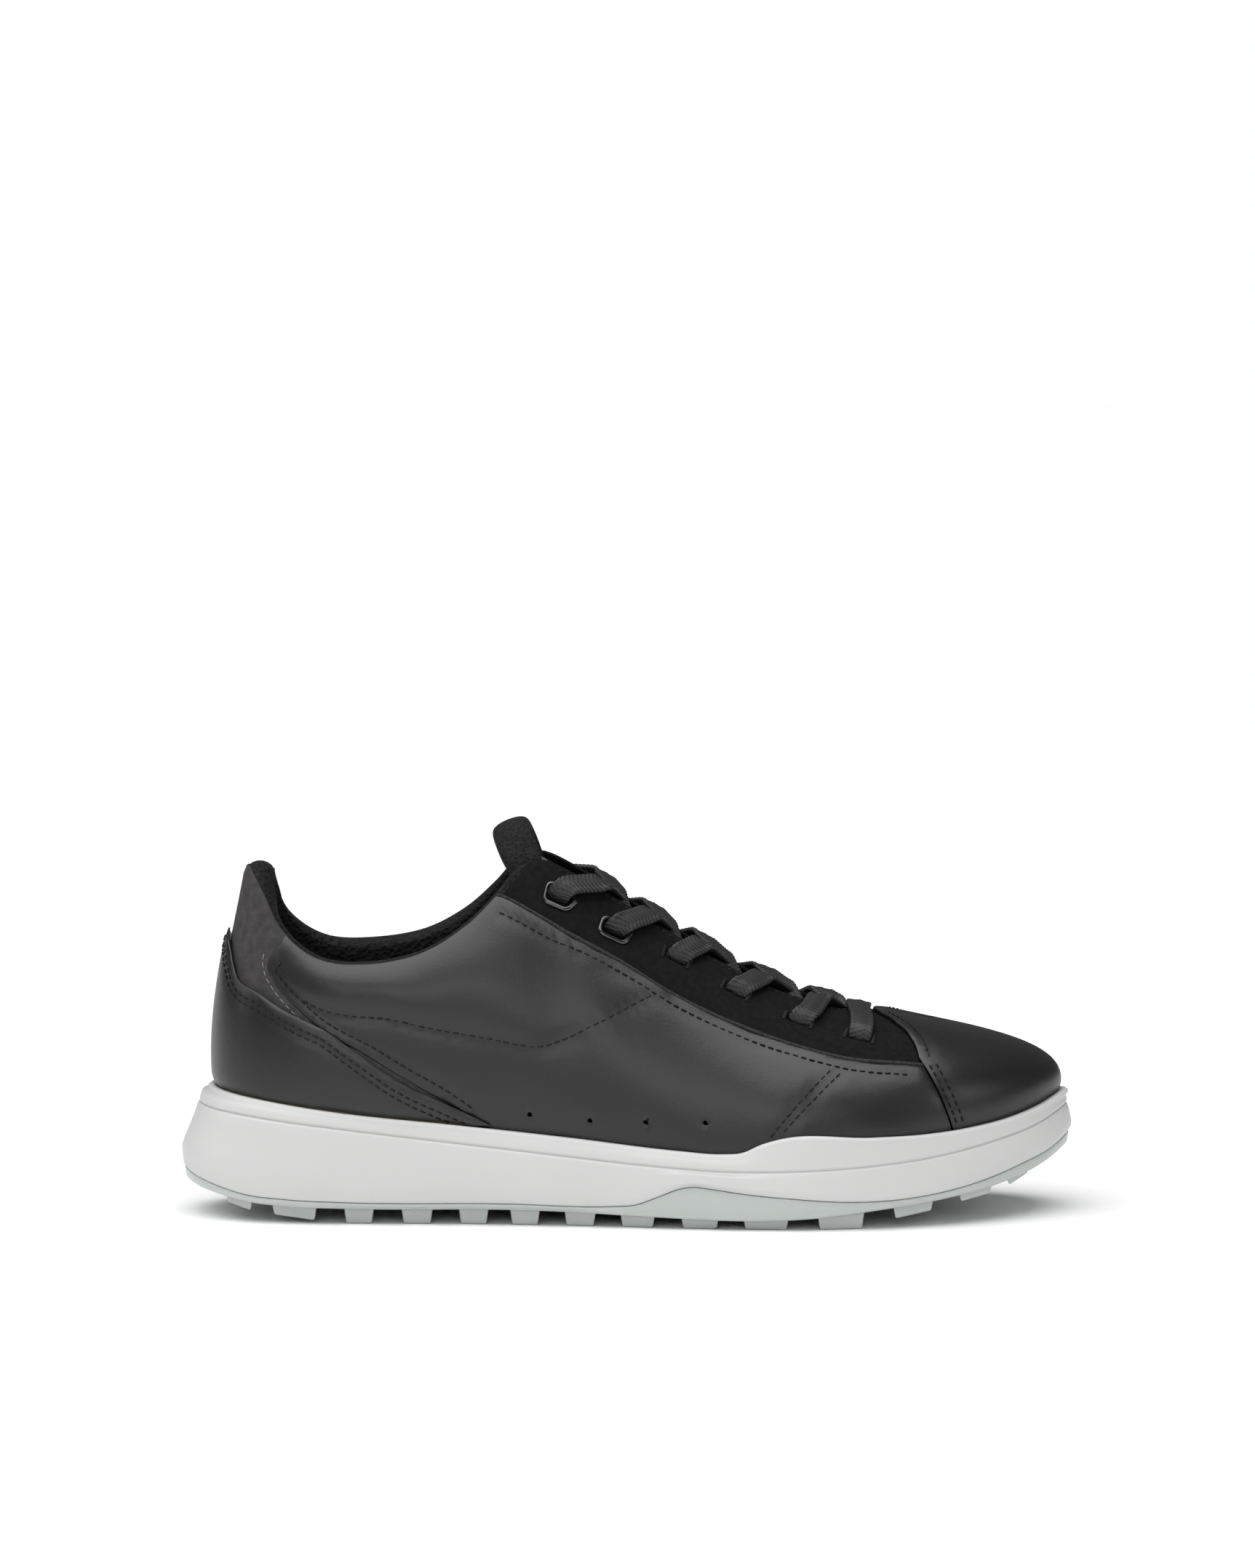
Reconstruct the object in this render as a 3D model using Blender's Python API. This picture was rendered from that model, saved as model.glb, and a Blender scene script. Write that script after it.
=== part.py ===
"""Laced leather golf shoe, right foot, as an assembly of separate closed pieces.

Work units are millimetres, turned into metres when a mesh is made.
+X points to the toe, +Z up, and the lateral (outer) side of the foot is at -Y.

The upper is drawn on one curved surface, the last. Its first parameter runs round the shoe in
stations: 0 at the heel, 20 at the toe along the lateral side, and on to 40 along the medial side.
Its second parameter climbs from 0 at the seat to 1 at the top line. Every leather panel, lining and
stiffener is a region of that surface, thickened between two offsets along its normal.
"""

import math

import bmesh
import bpy
import numpy as np
from mathutils import Vector
from mathutils.geometry import delaunay_2d_cdt

MM = 0.001
STATIONS = 40
TOE = 20
MESH_STEP = 8.0
GAP = 0.35
# Middle of the sole's outline, which becomes the origin.
SOLE_MIDDLE = np.array([-0.1, -0.25, 0.0])

# Offsets of each layer's outer and inner face from the last, in millimetres.
CAP_LAYER = (1.6, GAP)
SKIN_LAYER = (0.0, -1.4)
BACKING_LAYER = (-1.85, -3.05)
TOE_PUFF_LAYER = (-1.8, -2.7)
COUNTER_LAYER = (-0.1, -1.25)
LINING_OUTER = -3.7
LINING_THICKNESS = 1.0
COLLAR_PADDING = 5.0
# Share of the pocket between the lining and the upper that the collar padding fills.
PADDING_FILL = 0.8
# Millimetres per station and per unit of climb, near enough for laying out a mesh.
FLAT_SCALE = np.array([15.0, 65.0])
# Corners of an outline closer together than this become one.
SAME_CORNER = 0.3

# Seat outline by station: x, lateral y, medial y.
PLAN = [
    (-136.5, 0.0, 0.0),
    (-133.5, -14.5, 14.0),
    (-125.0, -24.5, 23.5),
    (-111.0, -30.5, 29.0),
    (-95.0, -32.5, 30.5),
    (-76.0, -33.5, 29.5),
    (-56.0, -34.5, 28.5),
    (-38.0, -36.5, 28.5),
    (-24.0, -38.5, 29.5),
    (-14.0, -40.0, 31.0),
    (-4.0, -42.0, 33.5),
    (9.0, -44.5, 37.5),
    (24.0, -47.0, 42.0),
    (40.0, -49.0, 46.0),
    (56.0, -49.5, 48.5),
    (73.0, -48.0, 49.0),
    (91.0, -43.5, 47.0),
    (108.0, -35.5, 42.5),
    (124.0, -23.5, 35.0),
    (136.5, -8.5, 24.0),
    (142.5, 8.0, 8.0),
]

# Top line by station: x, middle y, half width, z. The collar, then the throat, then the ridge
# on top of the toe, where the half width is zero and both sides meet.
TOP = [
    (-128.5, 0.0, 0.0, 116.5),
    (-127.0, 0.0, 9.0, 115.5),
    (-122.0, 0.0, 16.5, 108.5),
    (-114.0, 0.0, 22.5, 95.5),
    (-101.5, 0.0, 27.0, 87.2),
    (-85.0, 0.0, 29.5, 86.2),
    (-68.0, 0.0, 30.0, 90.0),
    (-54.0, 0.0, 27.5, 98.5),
    (-43.5, 0.0, 23.5, 108.5),
    (-36.5, 0.0, 19.5, 116.5),
    (-28.0, 0.0, 16.0, 120.5),
    (-12.0, 0.0, 14.0, 113.0),
    (8.0, 0.0, 13.0, 100.5),
    (28.0, 0.0, 12.0, 88.5),
    (47.0, 0.0, 11.0, 78.5),
    (63.0, 0.5, 9.5, 72.5),
    (71.0, 1.0, 6.0, 70.2),
    (76.0, 1.5, 0.0, 69.6),
    (88.0, 4.0, 0.0, 67.0),
    (98.0, 6.5, 0.0, 64.8),
    (102.0, 8.0, 0.0, 63.8),
]

# Section shape by station: outward bulge of the wall, its rise, reach of the top curve back
# towards the seat, outward swell below the top line, and drop of the top curve.
SECTION = [
    (5.0, 0.35, 0.5, 0.0, 0.30),
    (5.0, 0.35, 0.5, 0.0, 0.30),
    (5.0, 0.35, 0.5, 1.0, 0.30),
    (5.0, 0.35, 0.4, 2.5, 0.30),
    (5.5, 0.35, 0.3, 4.0, 0.30),
    (6.0, 0.35, 0.3, 4.5, 0.30),
    (6.0, 0.35, 0.3, 4.5, 0.30),
    (6.0, 0.35, 0.3, 4.5, 0.28),
    (6.0, 0.35, 0.35, 4.0, 0.26),
    (6.0, 0.35, 0.4, 3.0, 0.23),
    (5.5, 0.35, 0.45, 1.5, 0.21),
    (5.0, 0.35, 0.45, 0.0, 0.20),
    (5.0, 0.36, 0.45, 0.0, 0.20),
    (5.0, 0.38, 0.5, 0.0, 0.19),
    (6.0, 0.42, 0.58, 0.0, 0.17),
    (6.5, 0.46, 0.64, 0.0, 0.14),
    (7.0, 0.5, 0.7, 0.0, 0.10),
    (8.0, 0.54, 0.74, 0.0, 0.10),
    (9.5, 0.56, 0.77, 0.0, 0.14),
    (10.5, 0.58, 0.8, 0.0, 0.19),
    (11.0, 0.58, 0.8, 0.0, 0.22),
]

# The medial collar stands a little higher than the lateral one over these stations.
MEDIAL_LIFT = [0, 0, 0.5, 1.8, 2.5, 2.5, 1.5, 0.5] + [0] * 13


def curve_through(knots):
    """Smooth height profile through (x, z) knots, flat beyond both ends."""
    xs = np.array([knot[0] for knot in knots], float)
    zs = np.array([knot[1] for knot in knots], float)
    slopes = np.gradient(zs, xs)

    def height(x):
        x = np.clip(np.asarray(x, float), xs[0], xs[-1])
        i = np.clip(np.searchsorted(xs, x) - 1, 0, len(xs) - 2)
        width = xs[i + 1] - xs[i]
        f = (x - xs[i]) / width
        rise = (2 * f**3 - 3 * f**2 + 1) * zs[i] + (-2 * f**3 + 3 * f**2) * zs[i + 1]
        lean = (f**3 - 2 * f**2 + f) * slopes[i] + (f**3 - f**2) * slopes[i + 1]
        return rise + lean * width

    return height


# Heights along the shoe, as functions of the seat outline's x.
seat_height = curve_through([(-137, 36), (-95, 30.5), (-18, 24), (31, 20.5), (60, 22), (98, 25),
                             (126, 29.5), (143, 35)])
rim_height = curve_through([(-137, 43), (-123, 41), (-95, 37), (-59, 33.5), (-18, 29.5), (17, 26), (31, 25.2),
                            (38, 25.8), (44, 28.5), (50, 30.3), (80, 30.6), (98, 31), (112, 32.2),
                            (126, 34.5), (135, 37), (143, 40.3)])
band_height = curve_through([(-137, 37.5), (-110, 34), (-40, 26), (17, 20.8), (31, 20), (46, 20), (78, 21.5),
                             (100, 24), (118, 27.5), (133, 31.5), (143, 36)])
sole_edge_height = curve_through([(-137, 16), (-133, 13.5), (-125, 10), (-111, 8.3), (-95, 7.6), (-40, 7.5),
                                  (-4, 7.4), (3, 8), (10, 10.6), (17, 13.5), (21, 14.4), (28, 13.8),
                                  (38, 12.4), (53, 10.9), (72, 9.6), (82, 9.6), (98, 11), (115, 14.5),
                                  (127, 18.5), (137, 22.5), (143, 26.5)])
sole_seam_height = curve_through([(-137, 15.3), (-125, 9.6), (-111, 7.9), (-95, 7.1), (-40, 7), (40, 6.6),
                                  (72, 8.4), (98, 10.5), (115, 13.8), (127, 17.8), (143, 25.8)])
tread_ceiling = curve_through([(-137, 11), (-125, 7), (-111, 5.6), (-95, 5.1), (-29, 5), (13, 3.6), (34, 3),
                               (58, 3.6), (82, 6.2), (104, 9), (122, 12.5), (136, 17.5), (143, 21.5)])
ground_height = curve_through([(-140, 7), (-128, 4), (-110, 1.8), (-95, 0), (-85, 0), (70, 0), (79, 0),
                               (88, 3), (102, 5.4), (110, 7.3), (123, 9.8), (131, 12.8), (142, 18.5)])
inlay_cup = curve_through([(-137, 5), (-90, 4), (-40, 2), (10, 0.4), (143, 0.3)])

# Sole flare outside the seat outline, by x.
flare_width = curve_through([(-137, 13), (-126, 9.5), (-105, 7.5), (-60, 6.2), (0, 5.2), (60, 5), (110, 5.5),
                             (143, 6.6)])


def round_trip(u, table):
    """Catmull-Rom values of a closed table at station u."""
    count = len(table)
    base = np.floor(u).astype(int)
    f = (u - base)[..., None]
    before, here, after, beyond = (table[(base + k) % count] for k in (-1, 0, 1, 2))
    return 0.5 * (2 * here + (after - before) * f + (2 * before - 5 * here + 4 * after - beyond) * f**2
                  + (3 * here - before - 3 * after + beyond) * f**3)


def closed_table(lateral, medial):
    """Join the lateral rows 0..20 and the medial rows 19..1 into one closed table."""
    return np.array(list(lateral) + [medial[k] for k in range(TOE - 1, 0, -1)], float)


PLAN_TABLE = closed_table([(x, lateral) for x, lateral, medial in PLAN],
                          [(x, medial) for x, lateral, medial in PLAN])
TOP_TABLE = closed_table(TOP, TOP)
SECTION_TABLE = closed_table(SECTION, SECTION)
LIFT_TABLE = closed_table([(0,)] * (TOE + 1), [(lift,) for lift in MEDIAL_LIFT])


def seat_outline(u):
    """Seat outline point and its outward direction in plan at station u."""
    u = np.asarray(u, float)
    point = round_trip(u, PLAN_TABLE)
    step = 0.05
    along = round_trip(u + step, PLAN_TABLE) - round_trip(u - step, PLAN_TABLE)
    along /= np.linalg.norm(along, axis=-1, keepdims=True)
    outward = np.stack([along[..., 1], -along[..., 0]], axis=-1)
    return point, outward


def last(u, t):
    """Point of the last at station u and climb t."""
    u, t = np.broadcast_arrays(np.asarray(u, float), np.asarray(t, float))
    seat, outward = seat_outline(u)
    foot = np.concatenate([seat, seat_height(seat[..., 0])[..., None]], axis=-1)
    x, middle, half, z = np.moveaxis(round_trip(u, TOP_TABLE), -1, 0)
    hand = np.where(np.mod(u, STATIONS) <= TOE, -1.0, 1.0)
    z = z + round_trip(u, LIFT_TABLE)[..., 0]
    top = np.stack([x, middle + hand * np.maximum(half, 0.0), z], axis=-1)
    bulge, rise, reach, swell, drop = np.moveaxis(round_trip(u, SECTION_TABLE), -1, 0)
    climb = top[..., 2] - foot[..., 2]
    low = foot.copy()
    low[..., :2] += outward * bulge[..., None]
    low[..., 2] += rise * climb
    high = top.copy()
    high[..., :2] += (foot - top)[..., :2] * reach[..., None] + outward * swell[..., None]
    high[..., 2] -= drop * climb
    t = t[..., None]
    return (1 - t)**3 * foot + 3 * (1 - t)**2 * t * low + 3 * (1 - t) * t**2 * high + t**3 * top


def last_frame(u, t):
    """Unit vector along the stations, unit vector up the wall and outward normal of the last."""
    u, t = np.broadcast_arrays(np.asarray(u, float), np.asarray(t, float))
    inside = np.clip(t, 0.01, 0.97)
    step = 0.02
    along = last(u + step, inside) - last(u - step, inside)
    up = last(u, inside + 0.01) - last(u, inside - 0.01)
    along /= np.linalg.norm(along, axis=-1, keepdims=True)
    up /= np.linalg.norm(up, axis=-1, keepdims=True)
    normal = np.cross(along, up)
    normal /= np.linalg.norm(normal, axis=-1, keepdims=True)
    return along, up, normal


def on_last(u, t, offset):
    """Point of the last moved by offset along its normal."""
    return last(u, t) + last_frame(u, t)[2] * np.asarray(offset, float)[..., None]


def climb_at_height(u, z):
    """Climb t at which station u reaches height z."""
    low, high = 0.0, 1.0
    for _ in range(40):
        middle = (low + high) / 2
        if last(u, middle)[2] < z:
            low = middle
        else:
            high = middle
    return (low + high) / 2


SEARCH_U, SEARCH_T = np.meshgrid(np.linspace(0.2, 19.8, 197), np.linspace(0.0, 1.0, 101), indexing="ij")
SEARCH_POINTS = last(SEARCH_U, SEARCH_T)


def locate(first, second, axes):
    """Parameters of the lateral point whose coordinates on the two axes are given."""
    axes = list(axes)
    target = np.array([first, second], float)
    miss = np.linalg.norm(SEARCH_POINTS[..., axes] - target, axis=-1)
    nearest = np.unravel_index(np.argmin(miss), miss.shape)
    u, t = SEARCH_U[nearest], SEARCH_T[nearest]
    step = 0.002
    for _ in range(15):
        here = last(u, t)[axes]
        columns = [(last(u + step, t)[axes] - here) / step, (last(u, t + step)[axes] - here) / step]
        move = np.linalg.lstsq(np.array(columns).T, target - here, rcond=None)[0]
        u = u + float(np.clip(move[0], -0.3, 0.3))
        t = float(np.clip(t + np.clip(move[1], -0.1, 0.1), 0.0, 1.0))
    return u, t


def spline_through(points, steps):
    """Open Catmull-Rom curve through the points, with a number of steps per span."""
    points = np.array(points, float)
    padded = np.vstack([2 * points[0] - points[1], points, 2 * points[-1] - points[-2]])
    curve = []
    for i in range(len(points) - 1):
        before, here, after, beyond = padded[i:i + 4]
        for k in range(steps):
            f = k / steps
            bend = 2 * before - 5 * here + 4 * after - beyond
            twist = 3 * here - before - 3 * after + beyond
            curve.append(0.5 * (2 * here + (after - before) * f + bend * f**2 + twist * f**3))
    curve.append(points[-1])
    return np.array(curve)


def even_steps(line, spacing):
    """Resample a (u, t) line at about the given spacing measured on the last."""
    line = np.array(line, float)
    points = last(line[:, 0], line[:, 1])
    travelled = np.concatenate([[0], np.cumsum(np.linalg.norm(np.diff(points, axis=0), axis=1))])
    count = max(2, int(round(travelled[-1] / spacing)) + 1)
    wanted = np.linspace(0, travelled[-1], count)
    return np.stack([np.interp(wanted, travelled, line[:, k]) for k in (0, 1)], axis=1)


def side(x, z):
    """Lateral point given on the side elevation."""
    return locate(x, z, (0, 2))


def plan(x, y):
    """Lateral point given in plan."""
    return locate(x, y, (0, 1))


def station(u, z):
    """Point of a station at a height, for lines that wrap round the heel."""
    return u, climb_at_height(u, z)


def seam(spots, spacing=MESH_STEP):
    """Smooth line on the last through located spots."""
    return even_steps(spline_through(spots, 6), spacing)


def level_run(start, end, t, spacing=MESH_STEP):
    """Line of constant climb t from one station to another."""
    stations = np.linspace(start, end, 60)
    return even_steps([(u, t) for u in stations], spacing)


def climb_run(u, start, end, spacing=MESH_STEP):
    """Line of one station from one climb to another."""
    return even_steps([(u, t) for t in np.linspace(start, end, 30)], spacing)


def moved(line, distance):
    """Line moved sideways on the last; a positive distance moves it to its left."""
    line = np.array(line, float)
    along = np.gradient(line, axis=0)
    step = 0.01
    u, t = line[:, 0], line[:, 1]
    inside = np.clip(t, step, 1 - step)
    u_scale = np.linalg.norm(last(u + step, inside) - last(u - step, inside), axis=1) / (2 * step)
    t_scale = np.linalg.norm(last(u, inside + step) - last(u, inside - step), axis=1) / (2 * step)
    heading = np.stack([along[:, 0] * u_scale, along[:, 1] * t_scale], axis=1)
    heading /= np.linalg.norm(heading, axis=1, keepdims=True)
    left = np.stack([-heading[:, 1] / u_scale, heading[:, 0] / t_scale], axis=1)
    return line + left * distance


def mirrored(line):
    """The medial twin of a lateral line, walked the other way."""
    line = np.array(line, float)[::-1]
    return np.stack([STATIONS - line[:, 0], line[:, 1]], axis=1)


def joined(*lines):
    """One closed outline from lines laid end to end, without repeated corners."""
    outline = []
    for line in lines:
        for point in np.array(line, float):
            if not outline or np.linalg.norm((point - outline[-1]) * FLAT_SCALE) > SAME_CORNER:
                outline.append(point)
    if np.linalg.norm((outline[0] - outline[-1]) * FLAT_SCALE) < SAME_CORNER:
        outline.pop()
    return np.array(outline)


def inside_outline(points, outline):
    """Which points lie inside a closed outline (even-odd rule)."""
    inside = np.zeros(len(points), bool)
    for start, end in zip(outline, np.roll(outline, -1, axis=0)):
        crosses = (start[1] > points[:, 1]) != (end[1] > points[:, 1])
        with np.errstate(divide="ignore", invalid="ignore"):
            reach = (end[0] - start[0]) * (points[:, 1] - start[1]) / (end[1] - start[1]) + start[0]
        inside ^= crosses & (points[:, 0] < reach)
    return inside


def distance_to_outline(points, outline):
    """Shortest distance from each point to a closed outline."""
    nearest = np.full(len(points), np.inf)
    for start, end in zip(outline, np.roll(outline, -1, axis=0)):
        edge = end - start
        share = np.clip((points - start) @ edge / max(edge @ edge, 1e-9), 0, 1)
        nearest = np.minimum(nearest, np.linalg.norm(points - (start + share[:, None] * edge), axis=1))
    return nearest


def fill_region(outline, holes, step):
    """Triangles over a (u, t) outline with holes: returns the (u, t) vertices and the triangles."""
    flat = outline * FLAT_SCALE
    flat_holes = [hole * FLAT_SCALE for hole in holes]
    low, high = flat.min(axis=0), flat.max(axis=0)
    row_step = step * 0.866
    lattice = []
    for row in range(math.floor(low[1] / row_step), math.ceil(high[1] / row_step) + 1):
        for column in range(math.floor(low[0] / step) - 1, math.ceil(high[0] / step) + 2):
            lattice.append(((column + 0.5 * (row % 2)) * step, row * row_step))
    lattice = np.array(lattice)
    lattice = lattice[inside_outline(lattice, flat) & (distance_to_outline(lattice, flat) > 0.5 * step)]
    for hole in flat_holes:
        clear = ~inside_outline(lattice, hole) & (distance_to_outline(lattice, hole) > 0.3 * step)
        lattice = lattice[clear]
    loops = [flat] + flat_holes
    points = np.vstack(loops + [lattice])
    edges = []
    start = 0
    for loop in loops:
        count = len(loop)
        edges += [(start + k, start + (k + 1) % count) for k in range(count)]
        start += count
    found = delaunay_2d_cdt([Vector(point) for point in points], edges, [], 0, 1e-6)
    vertices = np.array([tuple(point) for point in found[0]])
    triangles = np.array(found[2])
    centres = vertices[triangles].mean(axis=1)
    keep = inside_outline(centres, flat)
    for hole in flat_holes:
        keep &= ~inside_outline(centres, hole)
    return vertices / FLAT_SCALE, triangles[keep]


def new_object(name, vertices, faces, material, parent=None, smooth=True):
    """One named mesh object from millimetre vertices, placed under a parent empty if given."""
    origin = SOLE_MIDDLE if parent is None else SOLE_MIDDLE + np.array(parent.location) / MM
    mesh = bpy.data.meshes.new(name)
    placed = [tuple((np.array(point) - origin) * MM) for point in vertices]
    mesh.from_pydata(placed, [], [list(face) for face in faces])
    work = bmesh.new()
    work.from_mesh(mesh)
    bmesh.ops.recalc_face_normals(work, faces=work.faces)
    work.to_mesh(mesh)
    work.free()
    for polygon in mesh.polygons:
        polygon.use_smooth = smooth
    mesh.materials.append(material)
    thing = bpy.data.objects.new(name, mesh)
    bpy.context.collection.objects.link(thing)
    thing.parent = parent
    return thing


def thicken(points, normals, triangles, outer, inner):
    """Closed skin between two offsets of an open sheet: vertices and faces."""
    key_of = {}
    slot = np.zeros(len(points), int)
    for i, point in enumerate(points):
        key = tuple(np.round(point / 0.05).astype(int))
        slot[i] = key_of.setdefault(key, len(key_of))
    first = np.array([np.flatnonzero(slot == k)[0] for k in range(len(key_of))])
    points, normals = points[first], normals[first]
    outer, inner = np.broadcast_to(outer, len(slot))[first], np.broadcast_to(inner, len(slot))[first]
    triangles = slot[triangles]
    proper = [tri for tri in triangles if len(set(tri)) == 3]
    facing = []
    for a, b, c in proper:
        across = np.cross(points[b] - points[a], points[c] - points[a])
        facing.append((a, b, c) if across @ normals[a] > 0 else (a, c, b))
    count = len(points)
    vertices = np.vstack([points + normals * outer[:, None], points + normals * inner[:, None]])
    faces = [tuple(tri) for tri in facing] + [(c + count, b + count, a + count) for a, b, c in facing]
    used = {}
    for a, b, c in facing:
        for edge in ((a, b), (b, c), (c, a)):
            used[edge] = True
    for a, b in used:
        if (b, a) not in used:
            faces.append((b, a, a + count))
            faces.append((b, a + count, b + count))
    return vertices, faces


def panel(name, outlines, layer, material, holes=(), step=MESH_STEP):
    """A region of the last, thickened between the two offsets of a layer."""
    all_points, all_normals, all_outer, all_inner, all_triangles = [], [], [], [], []
    start = 0
    for outline in outlines:
        flat = outline * FLAT_SCALE
        inner_holes = [hole for hole in holes if inside_outline(hole[:1] * FLAT_SCALE, flat)[0]]
        parameters, triangles = fill_region(outline, inner_holes, step)
        u, t = parameters[:, 0], np.clip(parameters[:, 1], 0, 1)
        all_points.append(last(u, t))
        all_normals.append(last_frame(u, t)[2])
        all_outer.append(layer[0](u, t) if callable(layer[0]) else np.full(len(u), layer[0]))
        all_inner.append(layer[1](u, t) if callable(layer[1]) else np.full(len(u), layer[1]))
        all_triangles.append(triangles + start)
        start += len(u)
    vertices, faces = thicken(np.vstack(all_points), np.vstack(all_normals), np.vstack(all_triangles),
                              np.concatenate(all_outer), np.concatenate(all_inner))
    return new_object(name, vertices, faces, material)


def ring(u, offset, z):
    """Closed ring of points round the shoe, a plan offset outside the seat outline."""
    seat, outward = seat_outline(u)
    edge = seat + outward * np.broadcast_to(offset, len(u))[:, None]
    return np.column_stack([edge, z(seat[:, 0])])


def cap_faces(ring_start, count, add_vertex, vertices):
    """Cross strips over a ring: rows run straight from the lateral to the medial side."""
    half = count // 2
    rows = [[ring_start]]
    for k in range(1, half):
        lateral, medial = ring_start + k, ring_start + count - k
        start, end = np.array(vertices[lateral]), np.array(vertices[medial])
        inner = [add_vertex((start * (3 - j) + end * j) / 3) for j in (1, 2)]
        rows.append([lateral] + inner + [medial])
    rows.append([ring_start + half])
    faces = []
    for front, back in zip(rows[:-1], rows[1:]):
        if len(front) == 1:
            faces += [(front[0], back[j], back[j + 1]) for j in range(len(back) - 1)]
        elif len(back) == 1:
            faces += [(front[j + 1], front[j], back[0]) for j in range(len(front) - 1)]
        else:
            faces += [(front[j + 1], front[j], back[j], back[j + 1]) for j in range(len(front) - 1)]
    return faces


def ring_solid(name, rings, material, parent=None):
    """Closed solid whose wall passes through the rings, capped at the first and the last one."""
    count = len(rings[0])
    vertices = [tuple(point) for one in rings for point in one]

    def add_vertex(point):
        vertices.append(tuple(point))
        return len(vertices) - 1

    faces = []
    for level in range(len(rings) - 1):
        low, high = level * count, (level + 1) * count
        for k in range(count):
            following = (k + 1) % count
            faces.append((low + k, low + following, high + following, high + k))
    faces += cap_faces(0, count, add_vertex, vertices)
    faces += cap_faces((len(rings) - 1) * count, count, add_vertex, vertices)
    return new_object(name, vertices, faces, material, parent)


def block(corners_low, corners_high):
    """Vertices and faces of a six-sided block from two four-corner loops."""
    vertices = [tuple(c) for c in corners_low] + [tuple(c) for c in corners_high]
    faces = [(3, 2, 1, 0), (4, 5, 6, 7)] + [(k, (k + 1) % 4, (k + 1) % 4 + 4, k + 4) for k in range(4)]
    return vertices, faces


def paint(name, colour, roughness, metallic=0.0):
    """Principled material with one plain colour."""
    material = bpy.data.materials.new(name)
    material.use_nodes = True
    shader = material.node_tree.nodes["Principled BSDF"]
    shader.inputs["Base Color"].default_value = (*colour, 1.0)
    shader.inputs["Roughness"].default_value = roughness
    shader.inputs["Metallic"].default_value = metallic
    return material


def pivot(name, x, z):
    """Empty on a joint's axis, which runs across the shoe."""
    empty = bpy.data.objects.new(name, None)
    empty.location = (x * MM, 0.0, z * MM)
    bpy.context.collection.objects.link(empty)
    return empty


def combine(solid, tool, operation):
    """Exact Boolean of a hidden tool object on a solid, left as a modifier."""
    tool.hide_render = True
    tool.display_type = "WIRE"
    change = solid.modifiers.new(tool.name, "BOOLEAN")
    change.operation = operation
    change.object = tool
    change.solver = "EXACT"


# Sole ------------------------------------------------------------------------------------------

# Lateral and medial traction lugs: where each one starts and ends along the shoe.
LUG_SPANS = [(-134, -124.5), (-118, -103), (-94, -84), (-75, -64.5), (-56, -46), (-39, -29), (-21, -10.5),
             (-2.5, 9), (17.5, 30), (38, 53), (62.5, 78), (87.5, 101), (109.5, 121), (126, 134)]
LUG_DEPTH = 11.0
LUG_TAPER = 0.8
INNER_LUG_WIDTH = 8.5
INNER_LUG_PITCH = 15.0
RIM_WALL = 3.0
SOLE_RING = np.arange(80) * STATIONS / 80
HALF_RING = np.linspace(0, TOE, 201)
LATERAL_OUTLINE = seat_outline(HALF_RING)[0]
MEDIAL_OUTLINE = seat_outline(STATIONS - HALF_RING)[0]


def outsole_half_widths(x):
    """Lateral and medial y of the outsole's lower edge at x."""
    inset = flare_width(x) - 4.0
    lateral = np.interp(x, LATERAL_OUTLINE[:, 0], LATERAL_OUTLINE[:, 1]) - inset
    medial = np.interp(x, MEDIAL_OUTLINE[:, 0], MEDIAL_OUTLINE[:, 1]) + inset
    return float(lateral), float(medial)


def lug(x0, x1, y_at_x0, y_at_x1):
    """One tapered lug: y ranges are given at its rear and front ends."""
    low, high = [], []
    for x, (ya, yb) in ((x0, y_at_x0), (x1, y_at_x1)):
        inward = LUG_TAPER if x == x0 else -LUG_TAPER
        ground, ceiling = max(float(ground_height(x + inward)), 0.0), float(tread_ceiling(x)) + 0.8
        low.append([(x + inward, ya + LUG_TAPER, ground), (x + inward, yb - LUG_TAPER, ground)])
        high.append([(x, ya, ceiling), (x, yb, ceiling)])
    corners_low = [low[0][0], low[1][0], low[1][1], low[0][1]]
    corners_high = [high[0][0], high[1][0], high[1][1], high[0][1]]
    return block(corners_low, corners_high)


def lug_places():
    """Every lug as (x0, x1, y range at x0, y range at x1)."""
    places = []
    for x0, x1 in LUG_SPANS:
        rear, front = outsole_half_widths(x0), outsole_half_widths(x1)
        places.append((x0, x1, (rear[0] + 0.4, rear[0] + LUG_DEPTH), (front[0] + 0.4, front[0] + LUG_DEPTH)))
        places.append((x0, x1, (rear[1] - LUG_DEPTH, rear[1] - 0.4), (front[1] - LUG_DEPTH, front[1] - 0.4)))
        middle = ((rear[0] + front[0]) / 2 + LUG_DEPTH, (rear[1] + front[1]) / 2 - LUG_DEPTH)
        free = middle[1] - middle[0]
        count = int((free - 4) // INNER_LUG_PITCH)
        for k in range(count):
            centre = (middle[0] + middle[1]) / 2 + (k - (count - 1) / 2) * INNER_LUG_PITCH
            span = (centre - INNER_LUG_WIDTH / 2, centre + INNER_LUG_WIDTH / 2)
            places.append((x0 + 1.0, x1 - 1.0, span, span))
    return places


# Shank: a flat spring plate under the waist, sunk into the midsole's seat.
SHANK_START = -78.0
SHANK_END = 12.0
SHANK_HALF_WIDTH = 10.0
SHANK_THICKNESS = 1.2
SHANK_POCKET_MARGIN = 0.4
SHANK_STEPS = 8


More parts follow.
